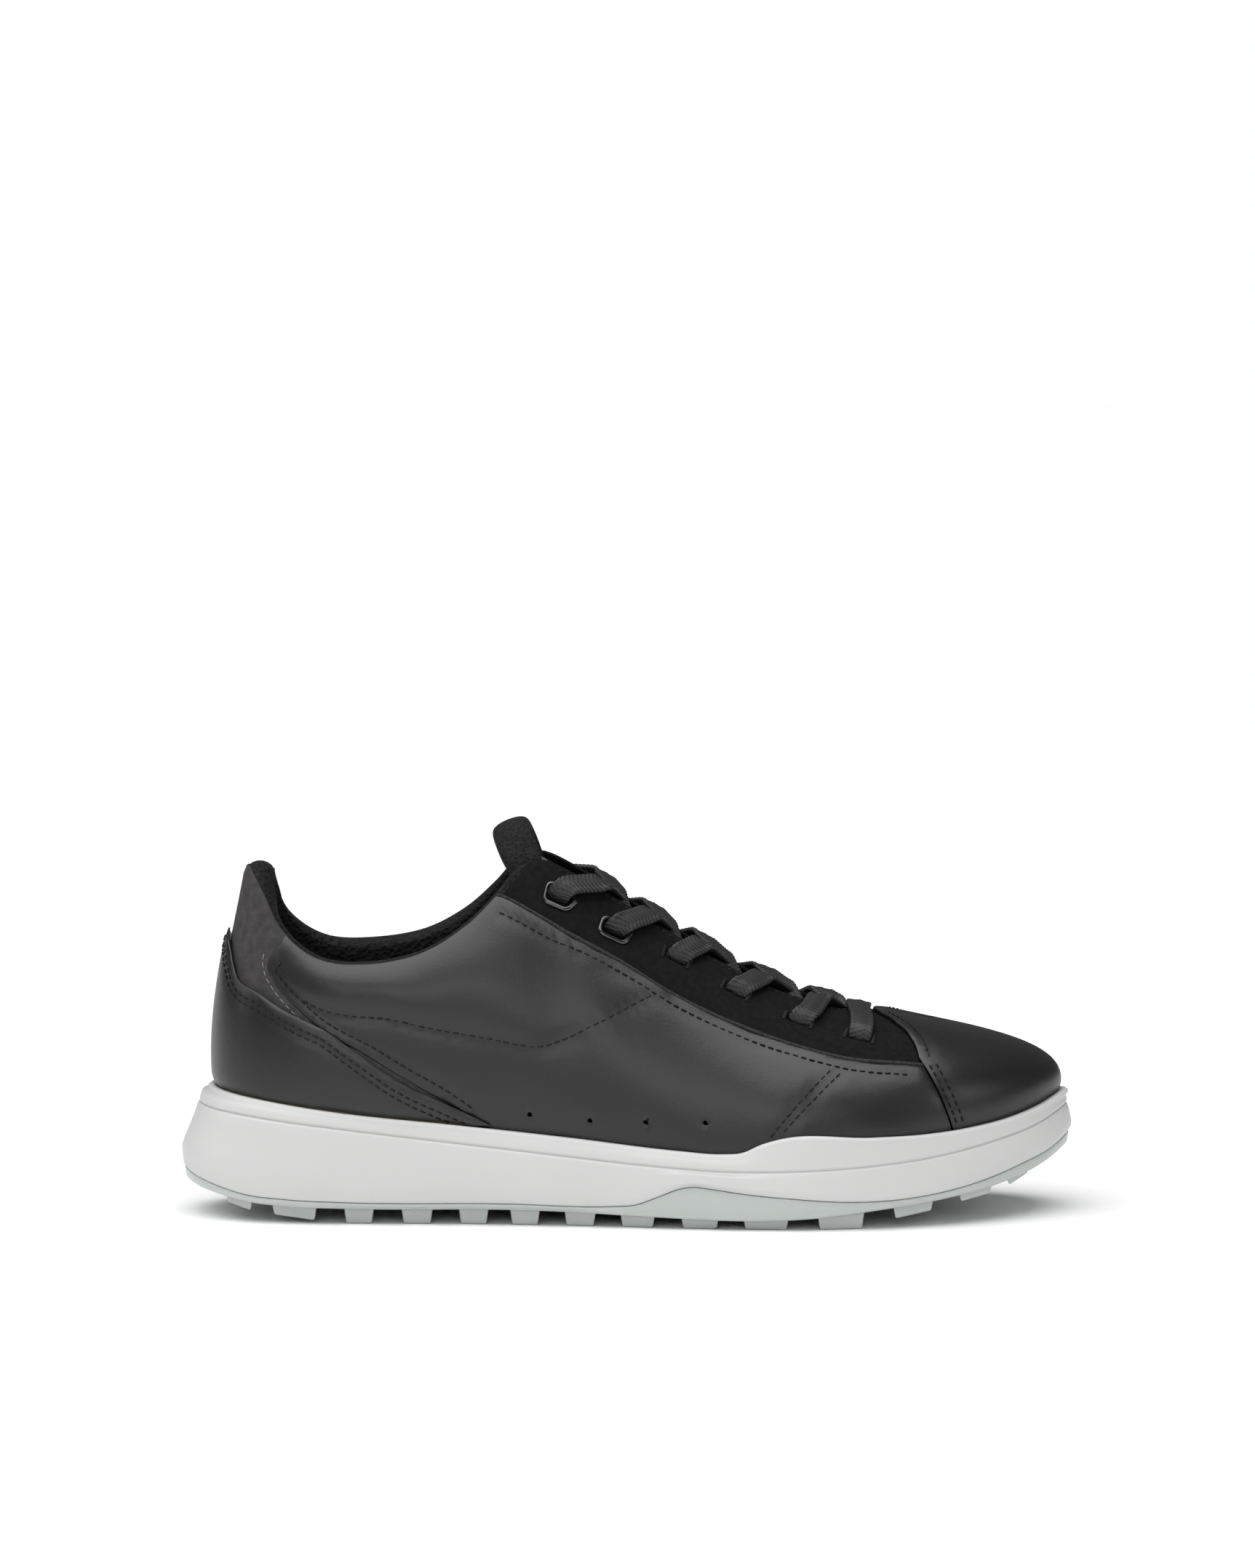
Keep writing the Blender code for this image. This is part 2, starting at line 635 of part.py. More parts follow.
def build_outsole(material):
    flare = flare_width(seat_outline(SOLE_RING)[0][:, 0])
    rings = [
        ring(SOLE_RING, flare - 3.5, tread_ceiling),
        ring(SOLE_RING, flare - 1.3, lambda x: tread_ceiling(x) + 1.4),
        ring(SOLE_RING, flare - 1.0, lambda x: sole_edge_height(x) - GAP),
        ring(SOLE_RING, flare - 1.0 - RIM_WALL, lambda x: sole_edge_height(x) - GAP),
        ring(SOLE_RING, flare - 1.4 - RIM_WALL, lambda x: sole_seam_height(x) - GAP),
    ]
    sole = ring_solid("outsole", rings, material)
    vertices, faces = [], []
    for place in lug_places():
        points, sides = lug(*place)
        faces += [tuple(i + len(vertices) for i in side) for side in sides]
        vertices += points
    combine(sole, new_object("outsole_lugs_tool", vertices, faces, material, smooth=False), "UNION")


def build_midsole(material):
    x = seat_outline(SOLE_RING)[0][:, 0]
    flare = flare_width(x)
    rim_climb = np.array([climb_at_height(u, float(rim_height(px))) for u, px in zip(SOLE_RING, x)])
    inner_rim = on_last(SOLE_RING, rim_climb, np.full(len(x), GAP))
    outer_rim = on_last(SOLE_RING, rim_climb, np.full(len(x), 2.8))
    inner_rim[:, 2] = outer_rim[:, 2] = rim_height(x)
    rings = [
        ring(SOLE_RING, flare - 1.6 - RIM_WALL, sole_seam_height),
        ring(SOLE_RING, flare - 1.2 - RIM_WALL, sole_edge_height),
        ring(SOLE_RING, flare - 0.8, sole_edge_height),
        ring(SOLE_RING, flare, lambda px: 0.7 * sole_edge_height(px) + 0.3 * band_height(px)),
        ring(SOLE_RING, 0.62 * flare + 1.8, lambda px: 0.35 * sole_edge_height(px) + 0.65 * band_height(px)),
        ring(SOLE_RING, 0.32 * flare + 2.9, band_height),
        ring(SOLE_RING, 0.2 * flare + 2.9, lambda px: rim_height(px) - 1.2),
        outer_rim,
        inner_rim,
        ring(SOLE_RING, GAP + 0.05, lambda px: seat_height(px) - 2.4),
    ]
    solid = ring_solid("midsole", rings, material)
    points, faces = shank_shape(SHANK_POCKET_MARGIN)
    combine(solid, new_object("shank_pocket_tool", points, faces, material, smooth=False), "DIFFERENCE")


def shank_shape(margin):
    """Plate following the seat; the margin grows it on all sides into its pocket."""
    vertices, faces = [], []
    xs = np.linspace(SHANK_START - margin, SHANK_END + margin, SHANK_STEPS + 1)
    top_extra = 3.0 if margin else 0.0
    for x in xs:
        top = float(seat_height(x)) - 2.4 - 0.3
        low, high = top - SHANK_THICKNESS - margin, top + top_extra
        for y, z in ((-1, low), (1, low), (1, high), (-1, high)):
            vertices.append((x, y * (SHANK_HALF_WIDTH + margin), z))
    for k in range(SHANK_STEPS):
        for j in range(4):
            here, beside = 4 * k + j, 4 * k + (j + 1) % 4
            faces.append((here, beside, beside + 4, here + 4))
    faces += [(3, 2, 1, 0), tuple(4 * SHANK_STEPS + j for j in range(4))]
    return vertices, faces


def build_boards(board_material, shank_material):
    points, faces = shank_shape(0.0)
    new_object("shank", points, faces, shank_material, smooth=False)
    rings = [
        ring(SOLE_RING, -0.4, lambda x: seat_height(x) - 2.05),
        ring(SOLE_RING, -0.3, lambda x: seat_height(x) - GAP),
    ]
    ring_solid("insole_board", rings, board_material)


def build_inlay(material, parent):
    wall = 6.2
    rings = [
        ring(SOLE_RING, -wall - 1.6, lambda x: seat_height(x) + 0.1),
        ring(SOLE_RING, -wall, lambda x: seat_height(x) + 1.6),
        ring(SOLE_RING, -wall, lambda x: seat_height(x) + 4.2 + inlay_cup(x)),
        ring(SOLE_RING, -wall - 1.8, lambda x: seat_height(x) + 4.2 + inlay_cup(x)),
        ring(SOLE_RING, -wall - 6.5, lambda x: seat_height(x) + 4.2),
    ]
    ring_solid("inlay_sole", rings, material, parent)



# Upper -----------------------------------------------------------------------------------------

QUARTER_REAR = seam([side(-113.8, 94.6), side(-118.5, 88.5), side(-119.8, 84), side(-117, 79),
                     side(-110, 71.5), side(-100.8, 63.6), side(-88, 56.6), side(-73.8, 48), side(-60, 40),
                     side(-45, 28)])
TAB_FRONT = seam([side(-108.5, 90.8), side(-113, 86), side(-113.4, 82.5), side(-110.5, 78), side(-104, 72),
                  side(-95, 65.5), side(-83, 59), side(-69, 50), side(-55, 40.5), side(-40, 27)])
QUARTER_TOP = seam([side(-43.6, 108.4), side(-32, 103), side(-19, 95.8), side(-2, 86.8), side(18, 74.7),
                    side(46.6, 62.7), side(61, 58.3), side(75, 55.3), side(89.5, 54), side(98, 53)])
VAMP_SEAM = seam([side(98, 53), side(102, 46), side(105.5, 38), side(108.5, 27)])
FACING_FRONT = seam([plan(96.5, -32), plan(93.5, -22), plan(88, -12), plan(83.5, -4), (17.55, 1.0)])
FACING_UNDERLAP = seam([side(-44.5, 104), side(-34, 97), side(-20, 89.8), side(-4, 81), side(16, 69.5),
                        side(44, 57.5), side(60, 53), side(75, 50), side(90, 48.5), side(100, 47.5)])
CAP_TOP = seam([station(0, 95), station(0.7, 91.5), station(1.3, 84), side(-128, 78.5), side(-119.8, 74.3),
                side(-107, 67.3), side(-98.8, 63.4), side(-88, 56), side(-73.8, 46.7), side(-57, 39),
                side(-43, 32.2)])
SPINE_START = 17.0


def seat_crossing(line):
    """Station where a line that runs down reaches the seat."""
    return float(line[-1][0])


def clipped_to_seat(line):
    """The line with its lower end dropped straight onto the seat."""
    line = np.array(line)
    line[-1][1] = 0.0
    return line


def quarter_outline():
    rear = clipped_to_seat(moved(QUARTER_REAR, 0.25))
    front = clipped_to_seat(moved(VAMP_SEAM, -0.25))
    edge = moved(QUARTER_TOP, -0.2)
    edge[0][1] = 1.0
    rear[0][1] = 1.0
    collar = level_run(rear[0][0], edge[0][0], 1.0)
    seat = level_run(seat_crossing(front), seat_crossing(rear), 0.0)
    return joined(collar, edge, front, seat, rear[::-1])


def vamp_outline():
    """Toe leather: seam, seat, medial seam, then over the ridge along the facing's front edge."""
    seam_line = clipped_to_seat(moved(VAMP_SEAM, 0.25))
    facing = FACING_FRONT
    seat = level_run(seat_crossing(seam_line), STATIONS - seat_crossing(seam_line), 0.0)
    ridge = level_run(facing[-1][0], TOE, 1.0)
    return joined(facing[::-1], seam_line, seat, mirrored(seam_line), mirrored(facing[::-1]), mirrored(ridge),
                  ridge[::-1])


def facing_outline():
    """Lateral half of the eyelet facing: it runs on under the quarter and the vamp."""
    front = moved(FACING_FRONT, -5.0)
    front[-1][1] = 1.0
    rear = FACING_UNDERLAP[0][0] - 0.2
    crossing = level_run(front[-1][0], SPINE_START, 1.0)
    top = level_run(SPINE_START, rear, 1.0)
    return joined(FACING_UNDERLAP, front, crossing, top)


def heel_tab_outline():
    edge = clipped_to_seat(TAB_FRONT)
    edge[0][1] = 1.0
    collar = level_run(-edge[0][0], edge[0][0], 1.0)
    seat = level_run(seat_crossing(edge), -seat_crossing(edge), 0.0)
    medial = np.stack([-edge[:, 0], edge[:, 1]], axis=1)
    return joined(collar, edge, seat, medial[::-1])


def counter_outline():
    """Heel stiffener under the heel cap, behind the quarters."""
    top = moved(CAP_TOP, -4.5)
    rear = clipped_to_seat(moved(QUARTER_REAR, -0.35))
    meeting = next(i for i in range(len(rear)) if rear[i][1] < np.interp(rear[i][0], top[:, 0], top[:, 1]))
    lower = rear[meeting:]
    upper = top[(top[:, 0] < lower[0][0] - 0.2) & (top[:, 0] > 0.2)]
    lateral = np.vstack([upper, lower])
    seat = level_run(seat_crossing(rear), -seat_crossing(rear), 0.0)
    medial = np.stack([-lateral[:, 0], lateral[:, 1]], axis=1)[::-1]
    return joined(lateral, seat, medial)


def cap_outline():
    foot = []
    for u in np.linspace(CAP_TOP[-1][0] - 0.4, 0, 14):
        x = float(seat_outline(u)[0][0])
        foot.append((u, climb_at_height(u, float(rim_height(x)) + 0.6)))
    lateral = np.vstack([CAP_TOP[:-1], foot])
    medial = np.stack([-lateral[:, 0], lateral[:, 1]], axis=1)[::-1]
    return joined(lateral, medial[1:-1])


def smooth_step(value, low, high):
    share = np.clip((np.asarray(value, float) - low) / (high - low), 0, 1)
    return share * share * (3 - 2 * share)


def wrapped(u):
    """Distance in stations from the heel, the same on both sides."""
    u = np.mod(u, STATIONS)
    return np.minimum(u, STATIONS - u)


def padding(u, t):
    """Collar padding thickness: full below the collar edge, gone at the throat and low down."""
    return COLLAR_PADDING * smooth_step(t, 0.35, 0.7) * (1 - smooth_step(wrapped(u), 6.5, 9.0))


def lining_outer(u, t):
    return LINING_OUTER - padding(u, t) - 0.4 * smooth_step(padding(u, t), 0.0, 0.5)


def lining_inner(u, t):
    return lining_outer(u, t) - LINING_THICKNESS


def lining_outline():
    """The whole last, opened along the heel's back and along the ridge over the toe.

    Along the throat the lining stops a little short of the facing's edge, which leaves room for the lace.
    """
    collar, throat = level_run(0, 9.8, 1.0), level_run(10.4, SPINE_START, 0.95)
    top = np.vstack([collar, throat, level_run(SPINE_START + 0.2, TOE, 1.0)])
    seat = level_run(0, TOE, 0.0)
    rise, fall = climb_run(0, 0.0, 1.0), climb_run(STATIONS, 1.0, 0.0)
    return joined(rise, top, mirrored(top), fall, mirrored(seat), seat[::-1])


def padding_outline():
    """Region of the collar where the padding is thick enough to be a piece."""
    lateral = [(u, 1.0) for u in np.linspace(0, 7.6, 16)]
    lateral += [(7.5, 0.8), (7.1, 0.6), (6.6, 0.5)]
    lateral += [(u, 0.46) for u in np.linspace(6, 0, 12)]
    lateral = np.array(lateral)
    medial = np.stack([-lateral[:, 0], lateral[:, 1]], axis=1)[::-1]
    return joined(lateral, medial[1:-1])


# Eyelets -----------------------------------------------------------------------------------------

# Lateral eyelets from the top of the throat down: x and z on the side elevation.
EYELETS = [(-23, 108.6), (-4, 97.4), (16.7, 88.2), (36.3, 77.4), (57, 68), (77, 62.8)]
METAL_ROWS = 2
SLOT_LENGTH = 8.6
SLOT_WIDTH = 3.8
EYELET_LENGTH = 12.0
EYELET_WIDTH = 8.6
EYELET_BORE = (8.8, 5.2)
BARREL_WALL = 0.5


def eyelet_frame(row, medial):
    """Centre parameters of one eyelet and the (u, t) steps for a millimetre along and up the throat."""
    centre = np.array(side(*EYELETS[row]))
    ends = [np.array(side(*EYELETS[k])) for k in (max(row - 1, 0), min(row + 1, len(EYELETS) - 1))]
    if medial:
        centre[0], ends[0][0], ends[1][0] = (STATIONS - u for u in (centre[0], ends[0][0], ends[1][0]))
    step = 0.01
    u, t = centre
    per_u = (last(u + step, t) - last(u - step, t)) / (2 * step)
    per_t = (last(u, t + step) - last(u, t - step)) / (2 * step)
    normal = last_frame(u, t)[2]
    along = last(*ends[1]) - last(*ends[0])
    along -= normal * (along @ normal)
    along /= np.linalg.norm(along)
    uphill = np.cross(normal, along)
    if uphill[2] < 0:
        uphill = -uphill
    columns = np.stack([per_u, per_t], axis=1)
    steps = [np.linalg.lstsq(columns, way, rcond=None)[0] for way in (along, uphill)]
    return centre, steps, along


EYELET_FRAMES = {(row, medial): eyelet_frame(row, medial)
                 for row in range(len(EYELETS)) for medial in (False, True)}


def near_eyelet(row, medial, along, uphill):
    """(u, t) of a point some millimetres along the throat and uphill from an eyelet's centre."""
    centre, steps, _ = EYELET_FRAMES[row, medial]
    return centre + steps[0] * along + steps[1] * uphill


def rounded_rectangle(length, width, corner, steps=3):
    """Outline of a rounded rectangle about the origin."""
    points = []
    for k, (sx, sy) in enumerate(((1, 1), (-1, 1), (-1, -1), (1, -1))):
        for j in range(steps + 1):
            angle = math.pi / 2 * (k + j / max(steps, 1))
            points.append((sx * (length / 2 - corner) + corner * math.cos(angle),
                           sy * (width / 2 - corner) + corner * math.sin(angle)))
    return points


def eyelet_holes():
    """Slots through the facing and the lining: larger ones where a metal eyelet sits."""
    holes = []
    for row in range(len(EYELETS)):
        length, width = SLOT_LENGTH, SLOT_WIDTH
        if row < METAL_ROWS:
            length, width = (size + 2 * BARREL_WALL + 1.3 for size in EYELET_BORE)
        for medial in (False, True):
            edge = rounded_rectangle(length, width, width / 2 - 0.2, 2)
            holes.append(np.array([near_eyelet(row, medial, a, b) for a, b in edge]))
    return holes


def build_eyelet(name, row, medial, material):
    """Metal eyelet: a flat rounded frame on the facing with a barrel through it."""
    top, under, foot = BACKING_LAYER[0] + 1.3, BACKING_LAYER[0] + 0.5, LINING_OUTER - LINING_THICKNESS - 0.2
    bore = rounded_rectangle(*EYELET_BORE, 1.8)
    barrel = rounded_rectangle(EYELET_BORE[0] + 2 * BARREL_WALL, EYELET_BORE[1] + 2 * BARREL_WALL, 2.2)
    flange = rounded_rectangle(EYELET_LENGTH, EYELET_WIDTH, 2.8)
    loops = [(bore, top), (flange, top), (flange, under), (barrel, under), (barrel, foot), (bore, foot)]
    count = len(bore)
    vertices = [on_last(*near_eyelet(row, medial, a, b), height) for loop, height in loops for a, b in loop]
    faces = []
    for level in range(len(loops)):
        low, high = level * count, (level + 1) % len(loops) * count
        faces += [(low + k, low + (k + 1) % count, high + (k + 1) % count, high + k) for k in range(count)]
    new_object(name, vertices, faces, material)


# Tongue ------------------------------------------------------------------------------------------

TONGUE_OUTER = -8.5
TONGUE_LAYERS = {"tongue_face": (0.0, -1.2), "tongue_foam": (-1.55, -5.4), "tongue_lining": (-5.75, -6.75)}
TONGUE_ROWS = 12
TONGUE_WING = 16.0
TONGUE_RISE = 10.0
TONGUE_PIVOT = (71.0, 60.0)


def tongue_row(u):
    """Points across the tongue's outer face at lateral station u, lateral edge first."""
    sides = []
    for medial in (False, True):
        station = STATIONS - u if medial else u
        wing = []
        height = np.linalg.norm(last(station, 1.0) - last(station, 0.9)) / 0.1
        for share in (1.0, 0.66, 0.33, 0.0):
            wing.append(on_last(station, 1.0 - share * TONGUE_WING / height, TONGUE_OUTER))
        sides.append(wing)
    lateral, medial = sides
    start, end = lateral[-1], medial[-1]
    lift = np.linalg.norm(end - start) / 3
    start_way = (lateral[-1] - lateral[-2]) / np.linalg.norm(lateral[-1] - lateral[-2])
    end_way = (medial[-1] - medial[-2]) / np.linalg.norm(medial[-1] - medial[-2])
    bridge = []
    for f in (0.2, 0.4, 0.6, 0.8):
        bridge.append((1 - f)**3 * start + 3 * (1 - f)**2 * f * (start + start_way * lift)
                      + 3 * (1 - f) * f**2 * (end + end_way * lift) + f**3 * end)
    return np.array(lateral + bridge + medial[::-1])


def tongue_sheet():
    """Grid of the tongue's outer face from the throat's front to its free top edge."""
    rows = [tongue_row(u) for u in np.linspace(16.2, 9.8, TONGUE_ROWS)]
    heading = np.array([-0.62, 0.0, 0.78])
    for k in (0.4, 0.75, 1.0):
        across = np.linspace(-1, 1, len(rows[0]))
        rounding = (1 - 0.9 * across**2)[:, None]
        rows.append(rows[TONGUE_ROWS - 1] + heading * TONGUE_RISE * k * rounding)
    return np.array(rows)


def grid_panel(name, grid, outer, inner, material, parent):
    """Closed sheet between two offsets of a point grid."""
    along = np.gradient(grid, axis=0)
    across = np.gradient(grid, axis=1)
    normals = np.cross(across, along)
    normals /= np.linalg.norm(normals, axis=-1, keepdims=True)
    if normals[..., 2].mean() < 0:
        normals = -normals
    rows, columns = grid.shape[:2]
    triangles = []
    for i in range(rows - 1):
        for j in range(columns - 1):
            corner = i * columns + j
            triangles.append((corner, corner + 1, corner + columns + 1))
            triangles.append((corner, corner + columns + 1, corner + columns))
    vertices, faces = thicken(grid.reshape(-1, 3), normals.reshape(-1, 3), np.array(triangles), outer, inner)
    return new_object(name, vertices, faces, material, parent)


# Shoelace ----------------------------------------------------------------------------------------

LACE_WIDTH = 6.4
LACE_THICKNESS = 1.4
LACE_STEPS = 3
TIP_WIDTH = 4.0
TIP_THICKNESS = 1.6


def lace_points():
    """Hand-laid way points of one lace: position and width direction, from end to end."""
    forward = half_lace(False)
    over_ridge = on_last(SPINE_START + 0.1, 1.0, BACKING_LAYER[0] + 1.5)
    return forward[::-1] + [(over_ridge, forward[0][1])] + half_lace(True)


def half_lace(starts_medial):
    """Way points from the front bar through rows 6 to 1, crossing the throat after each row."""
    way = []
    medial = starts_medial
    for row in range(len(EYELETS) - 1, -1, -1):
        along = EYELET_FRAMES[row, medial][2]
        above = BACKING_LAYER[0] + (2.6 if row < METAL_ROWS else 1.4)
        below = LINING_OUTER - LINING_THICKNESS - 1.5

        def spot(uphill, offset):
            u, t = near_eyelet(row, medial, 0.0, uphill)
            return on_last(u, min(t, 1.0), offset), along

        if not way:
            way.append(spot(11.0, above))
        way += [spot(4.6, above), spot(1.6, above + 0.1), spot(-0.1, (above + below) / 2)]
        if row == 0:
            tail = ((-0.6, 0.9), (-4.0, -0.3), (-9.0, -0.3), (-15.0, -0.5))
            way += [spot(uphill, below + lift) for uphill, lift in tail]
            break
        way += [spot(1.6, below - 0.1), spot(5.0, below - 0.1)]
        here, there = (EYELET_FRAMES[near, medial][0][0] for near in (row, row - 1))
        leaving = 0.75 * here + 0.25 * there
        arriving = STATIONS - (0.15 * here + 0.85 * there)
        above_there = BACKING_LAYER[0] + (2.0 if row <= METAL_ROWS else 1.5)
        way.append((on_last(leaving, 1.0, below - 0.15), along))
        way.append((throat_crossing(row, starts_medial), along))
        way.append((on_last(arriving, 1.0, above_there), along))
        medial = not medial
    return way


def throat_crossing(row, starts_medial):
    """Point over the tongue where the two halves of the lace cross between two rows."""
    edges = []
    for near in (row, row - 1):
        for medial in (False, True):
            edges.append(last(near_eyelet(near, medial, 0.0, 0.0)[0], 1.0))
    middle = np.mean(edges, axis=0)
    level = 4.2 if (row % 2 == 0) == starts_medial else 1.5
    return middle + np.array([0.35, 0.0, 0.93]) * level


def tip_points(medial):
    """Way points of the stiff tip on a lace end, tucked down between tongue and lining."""
    along = EYELET_FRAMES[0, medial][2]
    level = LINING_OUTER - LINING_THICKNESS - 2.5
    return [(on_last(*near_eyelet(0, medial, 0.0, uphill), level), along) for uphill in (-15.6, -19.5, -23.5)]


def ribbon(name, way, width, thickness, material, steps=LACE_STEPS):
    """Flat closed ribbon through way points of (position, width direction)."""
    centres = spline_through([point for point, _ in way], steps)
    widths = spline_through([direction for _, direction in way], steps)
    tangents = np.gradient(centres, axis=0)
    tangents /= np.linalg.norm(tangents, axis=1, keepdims=True)
    widths -= tangents * np.sum(widths * tangents, axis=1, keepdims=True)
    widths /= np.linalg.norm(widths, axis=1, keepdims=True)
    normals = np.cross(tangents, widths)
    section = rounded_rectangle(width, thickness, 0.0, 0)
    count = len(section)
    vertices, faces = [], []
    for centre, wide, normal in zip(centres, widths, normals):
        vertices += [centre + wide * a + normal * b for a, b in section]
    for k in range(len(centres) - 1):
        for j in range(count):
            here, beside = k * count + j, k * count + (j + 1) % count
            faces.append((here, beside, beside + count, here + count))
    faces.append(tuple(reversed(range(count))))
    faces.append(tuple((len(centres) - 1) * count + j for j in range(count)))
    return new_object(name, vertices, faces, material)


# Assembly ----------------------------------------------------------------------------------------

def clear_scene():
    for thing in list(bpy.data.objects):
        bpy.data.objects.remove(thing, do_unlink=True)


def main():
    clear_scene()
    leather = paint("black_leather", (0.012, 0.012, 0.013), 0.45)
    tab_leather = paint("charcoal_nubuck", (0.06, 0.056, 0.056), 0.8)
    facing_leather = paint("black_nubuck", (0.01, 0.01, 0.01), 0.85)
    textile = paint("black_mesh", (0.012, 0.012, 0.012), 0.9)
    foam = paint("white_midsole_foam", (0.85, 0.85, 0.84), 0.6)
    tread = paint("pale_rubber", (0.6, 0.65, 0.62), 0.4)
    stiffener = paint("stiffener_board", (0.45, 0.38, 0.28), 0.8)
    sponge = paint("dark_sponge", (0.05, 0.05, 0.05), 0.95)
    steel = paint("shank_steel", (0.5, 0.5, 0.5), 0.35, 1.0)
    eyelet_metal = paint("black_eyelet_metal", (0.02, 0.02, 0.02), 0.25, 0.8)

    insole_pivot = pivot("insole_pivot", 124.0, 31.5)
    tongue_pivot = pivot("tongue_pivot", *TONGUE_PIVOT)

    build_outsole(tread)
    build_midsole(foam)
    build_boards(stiffener, steel)
    build_inlay(textile, insole_pivot)

    panel("vamp", [vamp_outline()], SKIN_LAYER, leather)
    quarter = quarter_outline()
    panel("quarter_lateral", [quarter], SKIN_LAYER, leather)
    panel("quarter_medial", [mirrored(quarter)], SKIN_LAYER, leather)
    panel("heel_counter", [counter_outline()], COUNTER_LAYER, stiffener)
    panel("heel_cap", [cap_outline()], CAP_LAYER, leather)
    panel("heel_tab", [heel_tab_outline()], BACKING_LAYER, tab_leather)
    facing = facing_outline()
    holes = eyelet_holes()
    panel("eyelet_facing", [facing, mirrored(facing)], BACKING_LAYER, facing_leather, holes)
    toe = np.vstack([level_run(18.2, 21.8, 0.78), climb_run(21.8, 0.78, 0.0), level_run(21.8, 18.2, 0.0),
                     climb_run(18.2, 0.0, 0.78)])
    panel("toe_puff", [joined(toe)], TOE_PUFF_LAYER, stiffener)
    padded = (lambda u, t: np.full(np.shape(u), LINING_OUTER),
              lambda u, t: LINING_OUTER - PADDING_FILL * padding(u, t))
    panel("collar_padding", [padding_outline()], padded, sponge)
    panel("lining", [lining_outline()], (lining_outer, lining_inner), textile, holes)

    tongue = tongue_sheet()
    tongue_materials = {"tongue_face": textile, "tongue_foam": sponge, "tongue_lining": textile}
    for name, (outer, inner) in TONGUE_LAYERS.items():
        grid_panel(name, tongue, outer, inner, tongue_materials[name], tongue_pivot)

    label = tongue[-5:-1, 3:9]
    grid_panel("tongue_label", label, 1.1, GAP, tab_leather, tongue_pivot)

    for row in range(METAL_ROWS):
        for medial, word in ((False, "lateral"), (True, "medial")):
            build_eyelet(f"eyelet_{word}_{row + 1}", row, medial, eyelet_metal)
    ribbon("shoelace", lace_points(), LACE_WIDTH, LACE_THICKNESS, textile)
    for medial, word in ((False, "lateral"), (True, "medial")):
        ribbon(f"lace_tip_{word}", tip_points(medial), TIP_WIDTH, TIP_THICKNESS, eyelet_metal)


main()
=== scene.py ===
"""Looks of the laced leather golf shoe: the camera, the light, the materials and the soft pieces.

Work units are millimetres, turned into metres when a mesh is made. +X points to the toe, +Z up,
and the lateral (outer) side of the foot is at -Y. The upper is drawn on one curved surface, the
last, with the same two parameters as the CAD part: stations round the shoe and a climb up the wall.
"""

import math

import bmesh
import bpy
import numpy as np
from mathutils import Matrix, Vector, kdtree
from mathutils.geometry import delaunay_2d_cdt


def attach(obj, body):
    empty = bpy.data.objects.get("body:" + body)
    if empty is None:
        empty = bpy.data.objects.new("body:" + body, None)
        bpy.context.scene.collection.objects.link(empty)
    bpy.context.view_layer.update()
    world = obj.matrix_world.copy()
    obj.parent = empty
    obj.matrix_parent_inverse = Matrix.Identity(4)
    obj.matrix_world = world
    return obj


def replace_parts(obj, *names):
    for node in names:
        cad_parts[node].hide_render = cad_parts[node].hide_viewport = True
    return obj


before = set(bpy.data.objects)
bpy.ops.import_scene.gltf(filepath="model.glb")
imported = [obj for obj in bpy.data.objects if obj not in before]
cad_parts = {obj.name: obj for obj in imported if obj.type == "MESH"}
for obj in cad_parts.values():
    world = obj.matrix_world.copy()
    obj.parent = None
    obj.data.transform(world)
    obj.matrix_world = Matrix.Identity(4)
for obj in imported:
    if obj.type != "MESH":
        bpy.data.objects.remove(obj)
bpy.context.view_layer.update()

MM = 0.001
STATIONS = 40
TOE = 20
LINE_STEP = 2.5
GAP = 0.35
SOLE_MIDDLE = np.array([-0.1, -0.25, 0.0])

# Offsets of each layer's outer and inner face from the last, in millimetres.
CAP_LAYER = (1.6, 0.3)
SKIN_INNER = -1.4
BACKING_OUTER = -1.6
BACKING_INNER = -2.8
LINING_OUTER = -3.7
LINING_THICKNESS = 1.0
COLLAR_PADDING = 5.0
# Millimetres per station and per unit of climb, near enough for laying out a mesh.
FLAT_SCALE = np.array([15.0, 65.0])
# Corners of an outline closer together than this become one.
SAME_CORNER = 0.3

# Seat outline by station: x, lateral y, medial y.
PLAN = [
    (-136.5, 0.0, 0.0),
    (-133.5, -14.5, 14.0),
    (-125.0, -24.5, 23.5),
    (-111.0, -30.5, 29.0),
    (-95.0, -32.5, 30.5),
    (-76.0, -33.5, 29.5),
    (-56.0, -34.5, 28.5),
    (-38.0, -36.5, 28.5),
    (-24.0, -38.5, 29.5),
    (-14.0, -40.0, 31.0),
    (-4.0, -42.0, 33.5),
    (9.0, -44.5, 37.5),
    (24.0, -47.0, 42.0),
    (40.0, -49.0, 46.0),
    (56.0, -49.5, 48.5),
    (73.0, -48.0, 49.0),
    (91.0, -43.5, 47.0),
    (108.0, -35.5, 42.5),
    (124.0, -23.5, 35.0),
    (136.5, -8.5, 24.0),
    (142.5, 8.0, 8.0),
]

